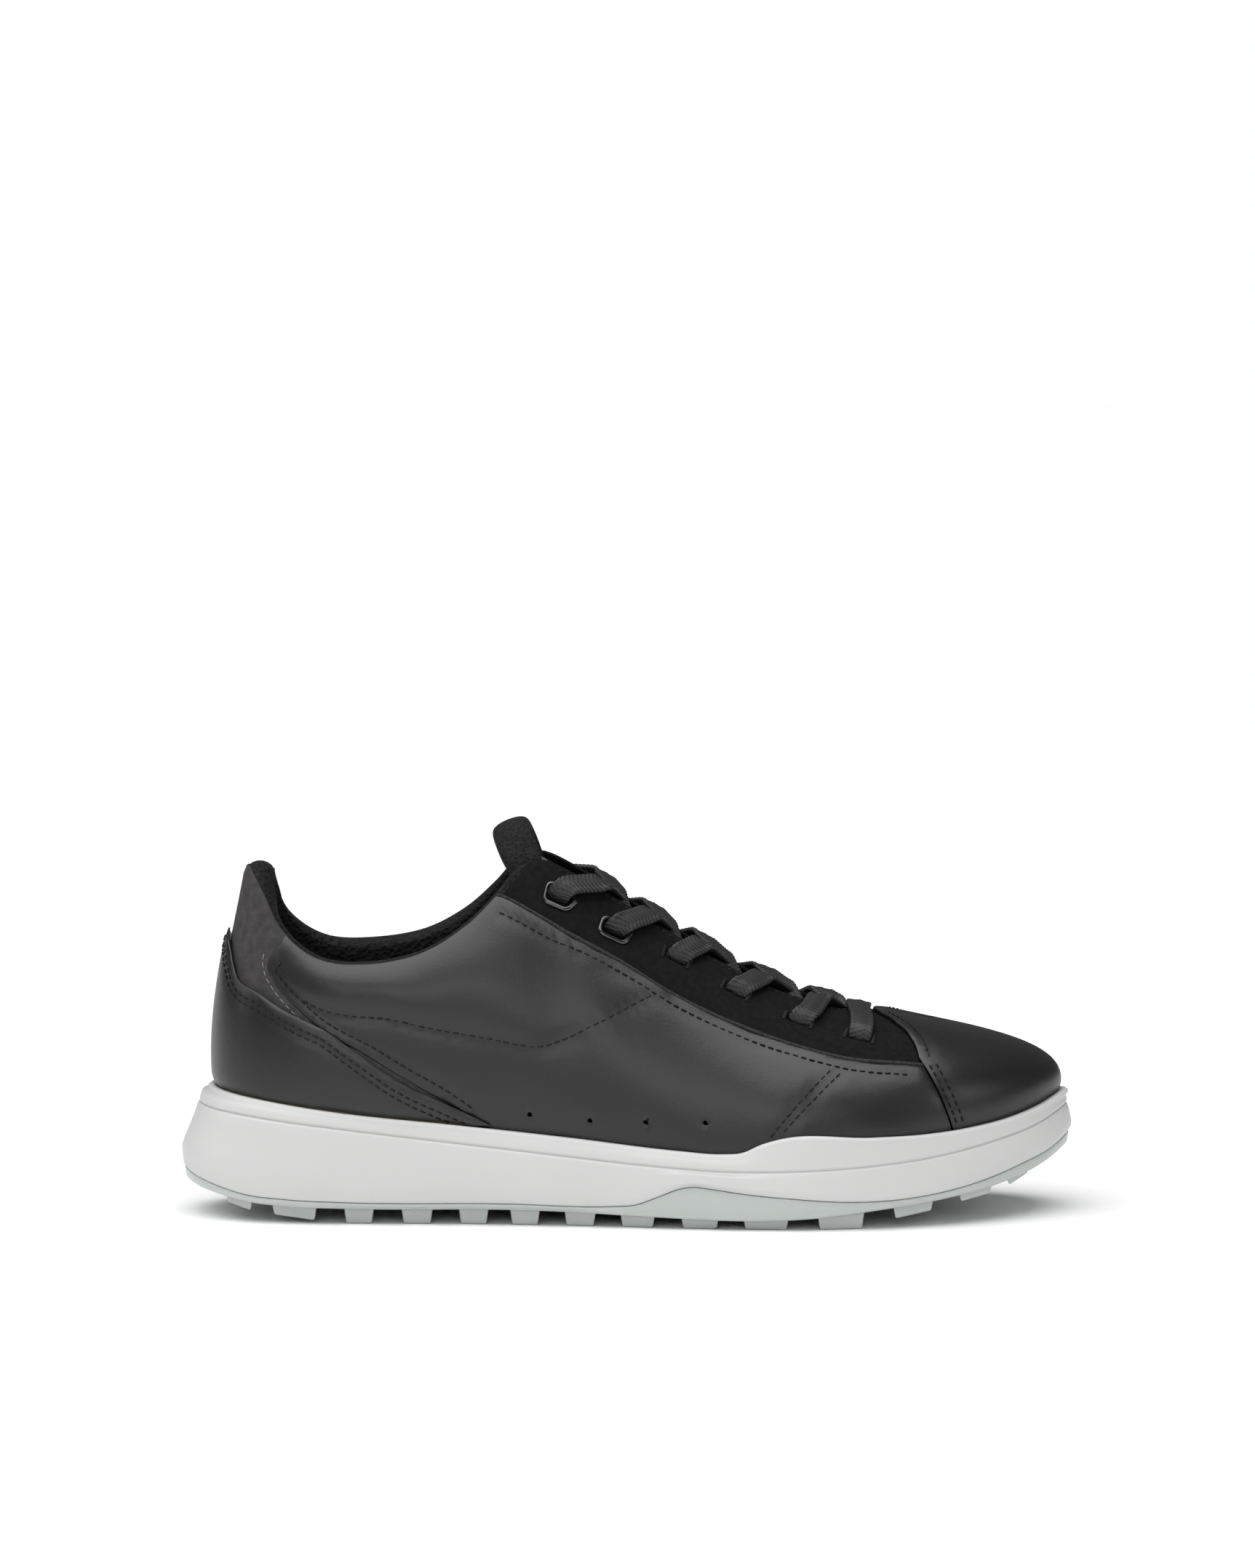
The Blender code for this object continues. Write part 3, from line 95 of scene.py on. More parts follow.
# Top line by station: x, middle y, half width, z. The collar, then the throat, then the ridge
# on top of the toe, where the half width is zero and both sides meet.
TOP = [
    (-128.5, 0.0, 0.0, 116.5),
    (-127.0, 0.0, 9.0, 115.5),
    (-122.0, 0.0, 16.5, 108.5),
    (-114.0, 0.0, 22.5, 95.5),
    (-101.5, 0.0, 27.0, 87.2),
    (-85.0, 0.0, 29.5, 86.2),
    (-68.0, 0.0, 30.0, 90.0),
    (-54.0, 0.0, 27.5, 98.5),
    (-43.5, 0.0, 23.5, 108.5),
    (-36.5, 0.0, 19.5, 116.5),
    (-28.0, 0.0, 16.0, 120.5),
    (-12.0, 0.0, 14.0, 113.0),
    (8.0, 0.0, 13.0, 100.5),
    (28.0, 0.0, 12.0, 88.5),
    (47.0, 0.0, 11.0, 78.5),
    (63.0, 0.5, 9.5, 72.5),
    (71.0, 1.0, 6.0, 70.2),
    (76.0, 1.5, 0.0, 69.6),
    (88.0, 4.0, 0.0, 67.0),
    (98.0, 6.5, 0.0, 64.8),
    (102.0, 8.0, 0.0, 63.8),
]

# Section shape by station: outward bulge of the wall, its rise, reach of the top curve back
# towards the seat, outward swell below the top line, and drop of the top curve.
SECTION = [
    (5.0, 0.35, 0.5, 0.0, 0.30),
    (5.0, 0.35, 0.5, 0.0, 0.30),
    (5.0, 0.35, 0.5, 1.0, 0.30),
    (5.0, 0.35, 0.4, 2.5, 0.30),
    (5.5, 0.35, 0.3, 4.0, 0.30),
    (6.0, 0.35, 0.3, 4.5, 0.30),
    (6.0, 0.35, 0.3, 4.5, 0.30),
    (6.0, 0.35, 0.3, 4.5, 0.28),
    (6.0, 0.35, 0.35, 4.0, 0.26),
    (6.0, 0.35, 0.4, 3.0, 0.23),
    (5.5, 0.35, 0.45, 1.5, 0.21),
    (5.0, 0.35, 0.45, 0.0, 0.20),
    (5.0, 0.36, 0.45, 0.0, 0.20),
    (5.0, 0.38, 0.5, 0.0, 0.19),
    (6.0, 0.42, 0.58, 0.0, 0.17),
    (6.5, 0.46, 0.64, 0.0, 0.14),
    (7.0, 0.5, 0.7, 0.0, 0.10),
    (8.0, 0.54, 0.74, 0.0, 0.10),
    (9.5, 0.56, 0.77, 0.0, 0.14),
    (10.5, 0.58, 0.8, 0.0, 0.19),
    (11.0, 0.58, 0.8, 0.0, 0.22),
]

# The medial collar stands a little higher than the lateral one over these stations.
MEDIAL_LIFT = [0, 0, 0.5, 1.8, 2.5, 2.5, 1.5, 0.5] + [0] * 13


def curve_through(knots):
    """Smooth height profile through (x, z) knots, flat beyond both ends."""
    xs = np.array([knot[0] for knot in knots], float)
    zs = np.array([knot[1] for knot in knots], float)
    slopes = np.gradient(zs, xs)

    def height(x):
        x = np.clip(np.asarray(x, float), xs[0], xs[-1])
        i = np.clip(np.searchsorted(xs, x) - 1, 0, len(xs) - 2)
        width = xs[i + 1] - xs[i]
        f = (x - xs[i]) / width
        rise = (2 * f**3 - 3 * f**2 + 1) * zs[i] + (-2 * f**3 + 3 * f**2) * zs[i + 1]
        lean = (f**3 - 2 * f**2 + f) * slopes[i] + (f**3 - f**2) * slopes[i + 1]
        return rise + lean * width

    return height


# Heights along the shoe, as functions of the seat outline's x.
seat_height = curve_through([(-137, 36), (-95, 30.5), (-18, 24), (31, 20.5), (60, 22), (98, 25),
                             (126, 29.5), (143, 35)])
rim_height = curve_through([(-137, 43), (-123, 41), (-95, 37), (-59, 33.5), (-18, 29.5), (17, 26), (31, 25.2),
                            (38, 25.8), (44, 28.5), (50, 30.3), (80, 30.6), (98, 31), (112, 32.2),
                            (126, 34.5), (135, 37), (143, 40.3)])
band_height = curve_through([(-137, 37.5), (-110, 34), (-40, 26), (17, 20.8), (31, 20), (46, 20), (78, 21.5),
                             (100, 24), (118, 27.5), (133, 31.5), (143, 36)])
sole_edge_height = curve_through([(-137, 16), (-133, 13.5), (-125, 10), (-111, 8.3), (-95, 7.6), (-40, 7.5),
                                  (-4, 7.4), (3, 8), (10, 10.6), (17, 13.5), (21, 14.4), (28, 13.8),
                                  (38, 12.4), (53, 10.9), (72, 9.6), (82, 9.6), (98, 11), (115, 14.5),
                                  (127, 18.5), (137, 22.5), (143, 26.5)])
sole_seam_height = curve_through([(-137, 15.3), (-125, 9.6), (-111, 7.9), (-95, 7.1), (-40, 7), (40, 6.6),
                                  (72, 8.4), (98, 10.5), (115, 13.8), (127, 17.8), (143, 25.8)])
tread_ceiling = curve_through([(-137, 11), (-125, 7), (-111, 5.6), (-95, 5.1), (-29, 5), (13, 3.6), (34, 3),
                               (58, 3.6), (82, 6.2), (104, 9), (122, 12.5), (136, 17.5), (143, 21.5)])
ground_height = curve_through([(-140, 7), (-128, 4), (-110, 1.8), (-95, 0), (-85, 0), (70, 0), (79, 0),
                               (88, 3), (102, 5.4), (110, 7.3), (123, 9.8), (131, 12.8), (142, 18.5)])
inlay_cup = curve_through([(-137, 5), (-90, 4), (-40, 2), (10, 0.4), (143, 0.3)])

# Sole flare outside the seat outline, by x.
flare_width = curve_through([(-137, 13), (-126, 9.5), (-105, 7.5), (-60, 6.2), (0, 5.2), (60, 5), (110, 5.5),
                             (143, 6.6)])


def round_trip(u, table):
    """Catmull-Rom values of a closed table at station u."""
    count = len(table)
    base = np.floor(u).astype(int)
    f = (u - base)[..., None]
    before, here, after, beyond = (table[(base + k) % count] for k in (-1, 0, 1, 2))
    return 0.5 * (2 * here + (after - before) * f + (2 * before - 5 * here + 4 * after - beyond) * f**2
                  + (3 * here - before - 3 * after + beyond) * f**3)


def closed_table(lateral, medial):
    """Join the lateral rows 0..20 and the medial rows 19..1 into one closed table."""
    return np.array(list(lateral) + [medial[k] for k in range(TOE - 1, 0, -1)], float)


PLAN_TABLE = closed_table([(x, lateral) for x, lateral, medial in PLAN],
                          [(x, medial) for x, lateral, medial in PLAN])
TOP_TABLE = closed_table(TOP, TOP)
SECTION_TABLE = closed_table(SECTION, SECTION)
LIFT_TABLE = closed_table([(0,)] * (TOE + 1), [(lift,) for lift in MEDIAL_LIFT])


def seat_outline(u):
    """Seat outline point and its outward direction in plan at station u."""
    u = np.asarray(u, float)
    point = round_trip(u, PLAN_TABLE)
    step = 0.05
    along = round_trip(u + step, PLAN_TABLE) - round_trip(u - step, PLAN_TABLE)
    along /= np.linalg.norm(along, axis=-1, keepdims=True)
    outward = np.stack([along[..., 1], -along[..., 0]], axis=-1)
    return point, outward


def last(u, t):
    """Point of the last at station u and climb t."""
    u, t = np.broadcast_arrays(np.asarray(u, float), np.asarray(t, float))
    seat, outward = seat_outline(u)
    foot = np.concatenate([seat, seat_height(seat[..., 0])[..., None]], axis=-1)
    x, middle, half, z = np.moveaxis(round_trip(u, TOP_TABLE), -1, 0)
    hand = np.where(np.mod(u, STATIONS) <= TOE, -1.0, 1.0)
    z = z + round_trip(u, LIFT_TABLE)[..., 0]
    top = np.stack([x, middle + hand * np.maximum(half, 0.0), z], axis=-1)
    bulge, rise, reach, swell, drop = np.moveaxis(round_trip(u, SECTION_TABLE), -1, 0)
    climb = top[..., 2] - foot[..., 2]
    low = foot.copy()
    low[..., :2] += outward * bulge[..., None]
    low[..., 2] += rise * climb
    high = top.copy()
    high[..., :2] += (foot - top)[..., :2] * reach[..., None] + outward * swell[..., None]
    high[..., 2] -= drop * climb
    t = t[..., None]
    return (1 - t)**3 * foot + 3 * (1 - t)**2 * t * low + 3 * (1 - t) * t**2 * high + t**3 * top


def last_frame(u, t):
    """Unit vector along the stations, unit vector up the wall and outward normal of the last."""
    u, t = np.broadcast_arrays(np.asarray(u, float), np.asarray(t, float))
    inside = np.clip(t, 0.01, 0.97)
    step = 0.02
    along = last(u + step, inside) - last(u - step, inside)
    up = last(u, inside + 0.01) - last(u, inside - 0.01)
    along /= np.linalg.norm(along, axis=-1, keepdims=True)
    up /= np.linalg.norm(up, axis=-1, keepdims=True)
    normal = np.cross(along, up)
    normal /= np.linalg.norm(normal, axis=-1, keepdims=True)
    return along, up, normal


def on_last(u, t, offset):
    """Point of the last moved by offset along its normal."""
    return last(u, t) + last_frame(u, t)[2] * np.asarray(offset, float)[..., None]


def climb_at_height(u, z):
    """Climb t at which station u reaches height z."""
    low, high = 0.0, 1.0
    for _ in range(40):
        middle = (low + high) / 2
        if last(u, middle)[2] < z:
            low = middle
        else:
            high = middle
    return (low + high) / 2


SEARCH_U, SEARCH_T = np.meshgrid(np.linspace(0.2, 19.8, 197), np.linspace(0.0, 1.0, 101), indexing="ij")
SEARCH_POINTS = last(SEARCH_U, SEARCH_T)


def locate(first, second, axes):
    """Parameters of the lateral point whose coordinates on the two axes are given."""
    axes = list(axes)
    target = np.array([first, second], float)
    miss = np.linalg.norm(SEARCH_POINTS[..., axes] - target, axis=-1)
    nearest = np.unravel_index(np.argmin(miss), miss.shape)
    u, t = SEARCH_U[nearest], SEARCH_T[nearest]
    step = 0.002
    for _ in range(15):
        here = last(u, t)[axes]
        columns = [(last(u + step, t)[axes] - here) / step, (last(u, t + step)[axes] - here) / step]
        move = np.linalg.lstsq(np.array(columns).T, target - here, rcond=None)[0]
        u = u + float(np.clip(move[0], -0.3, 0.3))
        t = float(np.clip(t + np.clip(move[1], -0.1, 0.1), 0.0, 1.0))
    return u, t


def spline_through(points, steps):
    """Open Catmull-Rom curve through the points, with a number of steps per span."""
    points = np.array(points, float)
    padded = np.vstack([2 * points[0] - points[1], points, 2 * points[-1] - points[-2]])
    curve = []
    for i in range(len(points) - 1):
        before, here, after, beyond = padded[i:i + 4]
        for k in range(steps):
            f = k / steps
            bend = 2 * before - 5 * here + 4 * after - beyond
            twist = 3 * here - before - 3 * after + beyond
            curve.append(0.5 * (2 * here + (after - before) * f + bend * f**2 + twist * f**3))
    curve.append(points[-1])
    return np.array(curve)


def even_steps(line, spacing):
    """Resample a (u, t) line at about the given spacing measured on the last."""
    line = np.array(line, float)
    points = last(line[:, 0], line[:, 1])
    travelled = np.concatenate([[0], np.cumsum(np.linalg.norm(np.diff(points, axis=0), axis=1))])
    count = max(2, int(round(travelled[-1] / spacing)) + 1)
    wanted = np.linspace(0, travelled[-1], count)
    return np.stack([np.interp(wanted, travelled, line[:, k]) for k in (0, 1)], axis=1)


def side(x, z):
    """Lateral point given on the side elevation."""
    return locate(x, z, (0, 2))


def plan(x, y):
    """Lateral point given in plan."""
    return locate(x, y, (0, 1))


def station(u, z):
    """Point of a station at a height, for lines that wrap round the heel."""
    return u, climb_at_height(u, z)


def seam(spots, spacing=LINE_STEP):
    """Smooth line on the last through located spots."""
    return even_steps(spline_through(spots, 6), spacing)


def level_run(start, end, t, spacing=LINE_STEP):
    """Line of constant climb t from one station to another."""
    stations = np.linspace(start, end, 60)
    return even_steps([(u, t) for u in stations], spacing)


def climb_run(u, start, end, spacing=LINE_STEP):
    """Line of one station from one climb to another."""
    return even_steps([(u, t) for t in np.linspace(start, end, 30)], spacing)


def parameter_scales(u, t, step=0.01):
    """Millimetres per station and per unit of climb at points of the last."""
    per_u = np.linalg.norm(last(u + step, t) - last(u - step, t), axis=-1) / (2 * step)
    per_t = np.linalg.norm(last(u, t + step) - last(u, t - step), axis=-1) / (2 * step)
    return per_u, per_t


def moved(line, distance):
    """Line moved sideways on the last; a positive distance moves it to its left."""
    line = np.array(line, float)
    along = np.gradient(line, axis=0)
    u_scale, t_scale = parameter_scales(line[:, 0], np.clip(line[:, 1], 0.01, 0.99))
    heading = np.stack([along[:, 0] * u_scale, along[:, 1] * t_scale], axis=1)
    heading /= np.linalg.norm(heading, axis=1, keepdims=True)
    left = np.stack([-heading[:, 1] / u_scale, heading[:, 0] / t_scale], axis=1)
    return line + left * distance


def mirrored(line):
    """The medial twin of a lateral line, walked the other way."""
    line = np.array(line, float)[::-1]
    return np.stack([STATIONS - line[:, 0], line[:, 1]], axis=1)


def across_heel(line):
    """The medial twin of a lateral line that starts at the heel, with stations below zero."""
    line = np.array(line, float)[::-1]
    return np.stack([-line[:, 0], line[:, 1]], axis=1)


def joined(*lines):
    """One closed outline from lines laid end to end, without repeated corners."""
    outline = []
    for line in lines:
        for point in np.array(line, float):
            if not outline or np.linalg.norm((point - outline[-1]) * FLAT_SCALE) > SAME_CORNER:
                outline.append(point)
    if np.linalg.norm((outline[0] - outline[-1]) * FLAT_SCALE) < SAME_CORNER:
        outline.pop()
    return np.array(outline)


def inside_outline(points, outline):
    """Which points lie inside a closed outline (even-odd rule)."""
    inside = np.zeros(len(points), bool)
    for start, end in zip(outline, np.roll(outline, -1, axis=0)):
        crosses = (start[1] > points[:, 1]) != (end[1] > points[:, 1])
        with np.errstate(divide="ignore", invalid="ignore"):
            reach = (end[0] - start[0]) * (points[:, 1] - start[1]) / (end[1] - start[1]) + start[0]
        inside ^= crosses & (points[:, 0] < reach)
    return inside


def distance_to_outline(points, outline):
    """Shortest distance from each point to a closed outline."""
    nearest = np.full(len(points), np.inf)
    for start, end in zip(outline, np.roll(outline, -1, axis=0)):
        edge = end - start
        share = np.clip((points - start) @ edge / max(edge @ edge, 1e-9), 0, 1)
        nearest = np.minimum(nearest, np.linalg.norm(points - (start + share[:, None] * edge), axis=1))
    return nearest


def fill_region(outline, holes, step):
    """Triangles over a (u, t) outline with holes: returns the (u, t) vertices and the triangles."""
    flat = outline * FLAT_SCALE
    flat_holes = [hole * FLAT_SCALE for hole in holes]
    low, high = flat.min(axis=0), flat.max(axis=0)
    row_step = step * 0.866
    lattice = []
    for row in range(math.floor(low[1] / row_step), math.ceil(high[1] / row_step) + 1):
        for column in range(math.floor(low[0] / step) - 1, math.ceil(high[0] / step) + 2):
            lattice.append(((column + 0.5 * (row % 2)) * step, row * row_step))
    lattice = np.array(lattice)
    lattice = lattice[inside_outline(lattice, flat) & (distance_to_outline(lattice, flat) > 0.5 * step)]
    for hole in flat_holes:
        clear = ~inside_outline(lattice, hole) & (distance_to_outline(lattice, hole) > 0.3 * step)
        lattice = lattice[clear]
    loops = [flat] + flat_holes
    points = np.vstack(loops + [lattice])
    edges = []
    start = 0
    for loop in loops:
        count = len(loop)
        edges += [(start + k, start + (k + 1) % count) for k in range(count)]
        start += count
    found = delaunay_2d_cdt([Vector(point) for point in points], edges, [], 0, 1e-6)
    vertices = np.array([tuple(point) for point in found[0]])
    triangles = np.array(found[2])
    centres = vertices[triangles].mean(axis=1)
    keep = inside_outline(centres, flat)
    for hole in flat_holes:
        keep &= ~inside_outline(centres, hole)
    return vertices / FLAT_SCALE, triangles[keep]


def thicken(points, normals, triangles, outer, inner):
    """Closed skin between two offsets of an open sheet: vertices and faces."""
    key_of = {}
    slot = np.zeros(len(points), int)
    for i, point in enumerate(points):
        key = tuple(np.round(point / 0.05).astype(int))
        slot[i] = key_of.setdefault(key, len(key_of))
    first = np.array([np.flatnonzero(slot == k)[0] for k in range(len(key_of))])
    points, normals = points[first], normals[first]
    outer, inner = np.broadcast_to(outer, len(slot))[first], np.broadcast_to(inner, len(slot))[first]
    triangles = slot[triangles]
    proper = [tri for tri in triangles if len(set(tri)) == 3]
    facing = []
    for a, b, c in proper:
        across = np.cross(points[b] - points[a], points[c] - points[a])
        facing.append((a, b, c) if across @ normals[a] > 0 else (a, c, b))
    count = len(points)
    vertices = np.vstack([points + normals * outer[:, None], points + normals * inner[:, None]])
    faces = [tuple(tri) for tri in facing] + [(c + count, b + count, a + count) for a, b, c in facing]
    used = {}
    for a, b, c in facing:
        for edge in ((a, b), (b, c), (c, a)):
            used[edge] = True
    for a, b in used:
        if (b, a) not in used:
            faces.append((b, a, a + count))
            faces.append((b, a + count, b + count))
    return vertices, faces


# Meshes ------------------------------------------------------------------------------------------

def new_object(name, vertices, faces, body):
    """Mesh object from points in millimetres, riding on a body of the frame."""
    mesh = bpy.data.meshes.new(name)
    placed = (np.array(vertices, float) - SOLE_MIDDLE) * MM
    mesh.from_pydata(placed.tolist(), [], [tuple(int(i) for i in face) for face in faces])
    mesh.validate()
    mesh.polygons.foreach_set("use_smooth", [True] * len(mesh.polygons))
    thing = bpy.data.objects.new(name, mesh)
    bpy.context.scene.collection.objects.link(thing)
    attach(thing, body)
    return thing


def tube_faces(levels, sides, start=0):
    """Faces of a capped tube whose points come ring after ring."""
    faces = []
    for level in range(levels - 1):
        low = start + level * sides
        for k in range(sides):
            beside = (k + 1) % sides
            faces.append((low + k, low + sides + k, low + sides + beside, low + beside))
    top = start + (levels - 1) * sides
    faces.append(tuple(range(start, start + sides)))
    faces.append(tuple(reversed(range(top, top + sides))))
    return faces


def soften(thing, width, segments=2):
    """Round the sharp edges of an object."""
    bevel = thing.modifiers.new("soft_edges", "BEVEL")
    bevel.width = width * MM
    bevel.segments = segments
    bevel.limit_method = "ANGLE"
    bevel.angle_limit = math.radians(42)
    return thing


def subdivide(thing, levels=2):
    """Round a coarse mesh into a smooth surface."""
    surface = thing.modifiers.new("soft_surface", "SUBSURF")
    surface.levels = surface.render_levels = levels


def nearest_distance(points, line_points):
    """Distance in millimetres from each point to a densely sampled line."""
    tree = kdtree.KDTree(len(line_points))
    for i, point in enumerate(line_points):
        tree.insert(point, i)
    tree.balance()
    return np.array([tree.find(point)[2] for point in points])


def dense(line, spacing=0.6):
    """Closely spaced points of the last along a (u, t) line."""
    line = even_steps(line, spacing)
    return last(line[:, 0], np.clip(line[:, 1], 0, 1))


def edge_roll(points, outline, radius, depth):
    """How far a rounded panel edge drops below the panel's face."""
    closed = np.vstack([outline, outline[:1]])
    share = np.clip(1 - nearest_distance(points, dense(closed)) / radius, 0, 1)
    return depth * (1 - np.sqrt(1 - share**2))


def grooves(points, lines, width, depth):
    """Soft furrows that stitching pulls into the leather."""
    drop = np.zeros(len(points))
    for line in lines:
        distance = nearest_distance(points, dense(line))
        drop = np.maximum(drop, depth * np.exp(-(distance / width)**2))
    return drop


PANEL_EDGE = 0.35


def panel(name, outlines, relief, inner, step, holes=()):
    """A region of the last between its outer face, given by relief(points, u, t), and an inner offset."""
    all_points, all_normals, all_outer, all_inner, all_triangles = [], [], [], [], []
    start = 0
    for outline in outlines:
        own_holes = [hole for hole in holes if inside_outline(hole[:1] * FLAT_SCALE, outline * FLAT_SCALE)[0]]
        parameters, triangles = fill_region(outline, own_holes, step)
        u, t = parameters[:, 0], np.clip(parameters[:, 1], 0, 1)
        points = last(u, t)
        all_points.append(points)
        all_normals.append(last_frame(u, t)[2])
        all_outer.append(relief(points, u, t))
        all_inner.append(inner(u, t) if callable(inner) else np.full(len(u), inner))
        all_triangles.append(triangles + start)
        start += len(u)
    vertices, faces = thicken(np.vstack(all_points), np.vstack(all_normals), np.vstack(all_triangles),
                              np.concatenate(all_outer), np.concatenate(all_inner))
    return soften(new_object(name, vertices, faces, "shoe"), PANEL_EDGE)


# Stitches ----------------------------------------------------------------------------------------

STITCH_LENGTH = 2.1
STITCH_GAP = 0.75
STITCH_RADIUS = 0.27
STITCH_SIDES = 6


def capsule(start, end, normal, radius):
    """Points and faces of one stitch, bowed so that both of its ends dip into the leather."""
    way = end - start
    heading = way / np.linalg.norm(way)
    across = np.cross(normal, heading)
    rings = ((0.0, -1.3, 0.55), (0.12, 0.05, 0.9), (0.5, 0.45, 1.0), (0.88, 0.05, 0.9), (1.0, -1.3, 0.55))
    points = []
    for share, lift, size in rings:
        centre = start + way * share + normal * lift * radius
        for k in range(STITCH_SIDES):
            angle = 2 * math.pi * k / STITCH_SIDES
            points.append(centre + (across * math.cos(angle) + normal * math.sin(angle)) * radius * size)
    return points, tube_faces(len(rings), STITCH_SIDES)


def stitch_row(name, runs, radius=STITCH_RADIUS, length=STITCH_LENGTH, gap=STITCH_GAP):
    """One object of stitches along several runs of (line, height); height may depend on points, u and t."""
    all_points, all_faces = [], []
    for line, height in runs:
        line = even_steps(line, 0.35)
        u, t = line[:, 0], np.clip(line[:, 1], 0, 1)
        normals = last_frame(u, t)[2]
        level = height(last(u, t), u, t)[:, None] if callable(height) else height
        points = last(u, t) + normals * level
        travelled = np.concatenate([[0], np.cumsum(np.linalg.norm(np.diff(points, axis=0), axis=1))])
        begin = gap / 2
        while begin + length < travelled[-1]:
            spots = [np.array([np.interp(s, travelled, points[:, k]) for k in range(3)])
                     for s in (begin, begin + length)]
            normal = normals[np.searchsorted(travelled, begin + length / 2)]
            stitch, sides = capsule(spots[0], spots[1], normal, radius)
            all_faces += [tuple(i + len(all_points) for i in side) for side in sides]
            all_points += stitch
            begin += length + gap
    return new_object(name, all_points, all_faces, "shoe")


# Sole --------------------------------------------------------------------------------------------

RIM_WALL = 3.0
SOLE_RING = np.arange(400) * STATIONS / 400
RING_X = seat_outline(SOLE_RING)[0][:, 0]
FLARE = flare_width(RING_X)


def ring(offset, z):
    """Closed ring of points round the shoe, a plan offset outside the seat outline."""
    seat, outward = seat_outline(SOLE_RING)
    edge = seat + outward * np.broadcast_to(offset, len(SOLE_RING))[:, None]
    return np.column_stack([edge, np.broadcast_to(z, len(SOLE_RING))])


def ring_strip(name, rings, body="shoe", kinds=None):
    """Closed wall through the rings, filled straight across at both ends."""
    count = len(rings[0])
    half = count // 2
    faces = []
    for level in range(len(rings) - 1):
        low, high = level * count, (level + 1) * count
        faces += [(low + k, low + (k + 1) % count, high + (k + 1) % count, high + k) for k in range(count)]
    top = (len(rings) - 1) * count
    for k in range(half):
        lateral, medial = (k, k + 1), ((count - k - 1) % count, (count - k) % count)
        bottom_face = [lateral[1], lateral[0], medial[1], medial[0]]
        bottom_face = list(dict.fromkeys(bottom_face))
        if len(bottom_face) > 2:
            faces.append(tuple(bottom_face))
            faces.append(tuple(top + i for i in reversed(bottom_face)))
    thing = new_object(name, np.vstack(rings), faces, body)
    if kinds:
        for face, polygon in zip(faces, thing.data.polygons):
            level = face[0] // count
            polygon.material_index = kinds[min(level, len(kinds) - 1)]
    return thing


def between(low, high, share):
    """The height a share of the way from low to high."""
    return low + share * (high - low)


# Midsole wall from the bottom edge up. Each row is a share of the flare, millimetres added to it, the
# two heights between which it lies, the share of the way up, and millimetres added to that.
WALL_PROFILE = [
    (1.0, -0.9, "edge", "band", 0.0, 0.25),
    (1.0, -0.45, "edge", "band", 0.0, 1.0),
    (1.0, -0.1, "edge", "band", 0.17, 0.0),
    (1.0, 0.0, "edge", "band", 0.3, 0.0),
    (0.9, 0.45, "edge", "band", 0.42, 0.0),
    (0.74, 1.25, "edge", "band", 0.55, 0.0),
    (0.6, 1.9, "edge", "band", 0.68, 0.0),
    (0.47, 2.4, "edge", "band", 0.82, 0.0),
    (0.38, 2.75, "band", "rim", 0.0, -1.4),
    (0.34, 2.85, "band", "rim", 0.0, -0.8),
    (0.32, 2.4, "band", "rim", 0.0, -0.45),
    (0.31, 2.4, "band", "rim", 0.0, -0.1),
    (0.31, 2.95, "band", "rim", 0.0, 0.25),
    (0.3, 3.0, "band", "rim", 0.0, 0.8),
    (0.27, 3.0, "band", "rim", 0.35, 0.0),
    (0.23, 2.95, "band", "rim", 0.62, 0.0),
]
# Material slots of the midsole: smooth near the rim, pebbled on the wall's lower levels.
SMOOTH = 0
PEBBLED = 1
PEBBLED_LEVELS = 11
RIM_OUT = 2.9
LIP_OUT = 2.2


def build_midsole():
    """Foam sidewall with a groove below its upper band and a rim that the upper sits in."""
    edge, band, rim = sole_edge_height(RING_X), band_height(RING_X), rim_height(RING_X)
    climb = np.array([climb_at_height(u, z) for u, z in zip(SOLE_RING, rim)])
    outer_rim = on_last(SOLE_RING, climb, np.full(len(climb), RIM_OUT))
    lip = on_last(SOLE_RING, climb, np.full(len(climb), LIP_OUT))
    inner_rim = on_last(SOLE_RING, climb, np.full(len(climb), GAP))
    outer_rim[:, 2] = rim - 0.5
    lip[:, 2] = inner_rim[:, 2] = rim
    under_rim = outer_rim.copy()
    under_rim[:, 2] = rim - 1.3
    rings = [ring(FLARE - 1.2 - RIM_WALL, edge), ring(FLARE - 1.6, edge)]
    for flare_share, out, low, high, share, lift in WALL_PROFILE:
        heights = {"edge": edge, "band": band, "rim": rim}
        z = between(heights[low], heights[high], share) + lift
        rings.append(ring(flare_share * FLARE + out, z))
    rings += [under_rim, outer_rim, lip, inner_rim, ring(GAP, seat_height(RING_X) - 1.0)]
    kinds = [PEBBLED] * PEBBLED_LEVELS + [SMOOTH]
    return ring_strip("midsole_shell", rings, kinds=kinds)


def build_outsole():
    """Rubber sheet under the foam, turned up a little round its edge."""
    seam, edge, ceiling = sole_seam_height(RING_X), sole_edge_height(RING_X), tread_ceiling(RING_X)
    profile = [(4.4, ceiling), (3.5, ceiling + 0.05), (2.2, ceiling + 0.5), (1.4, ceiling + 1.3),
               (1.15, between(ceiling, edge, 0.6)), (0.95, edge - 0.6), (1.1, edge - 0.15),
               (1.0 + RIM_WALL, edge - 0.1), (1.4 + RIM_WALL, seam - GAP)]
    return ring_strip("outsole_sheet", [ring(FLARE - inset, z) for inset, z in profile])


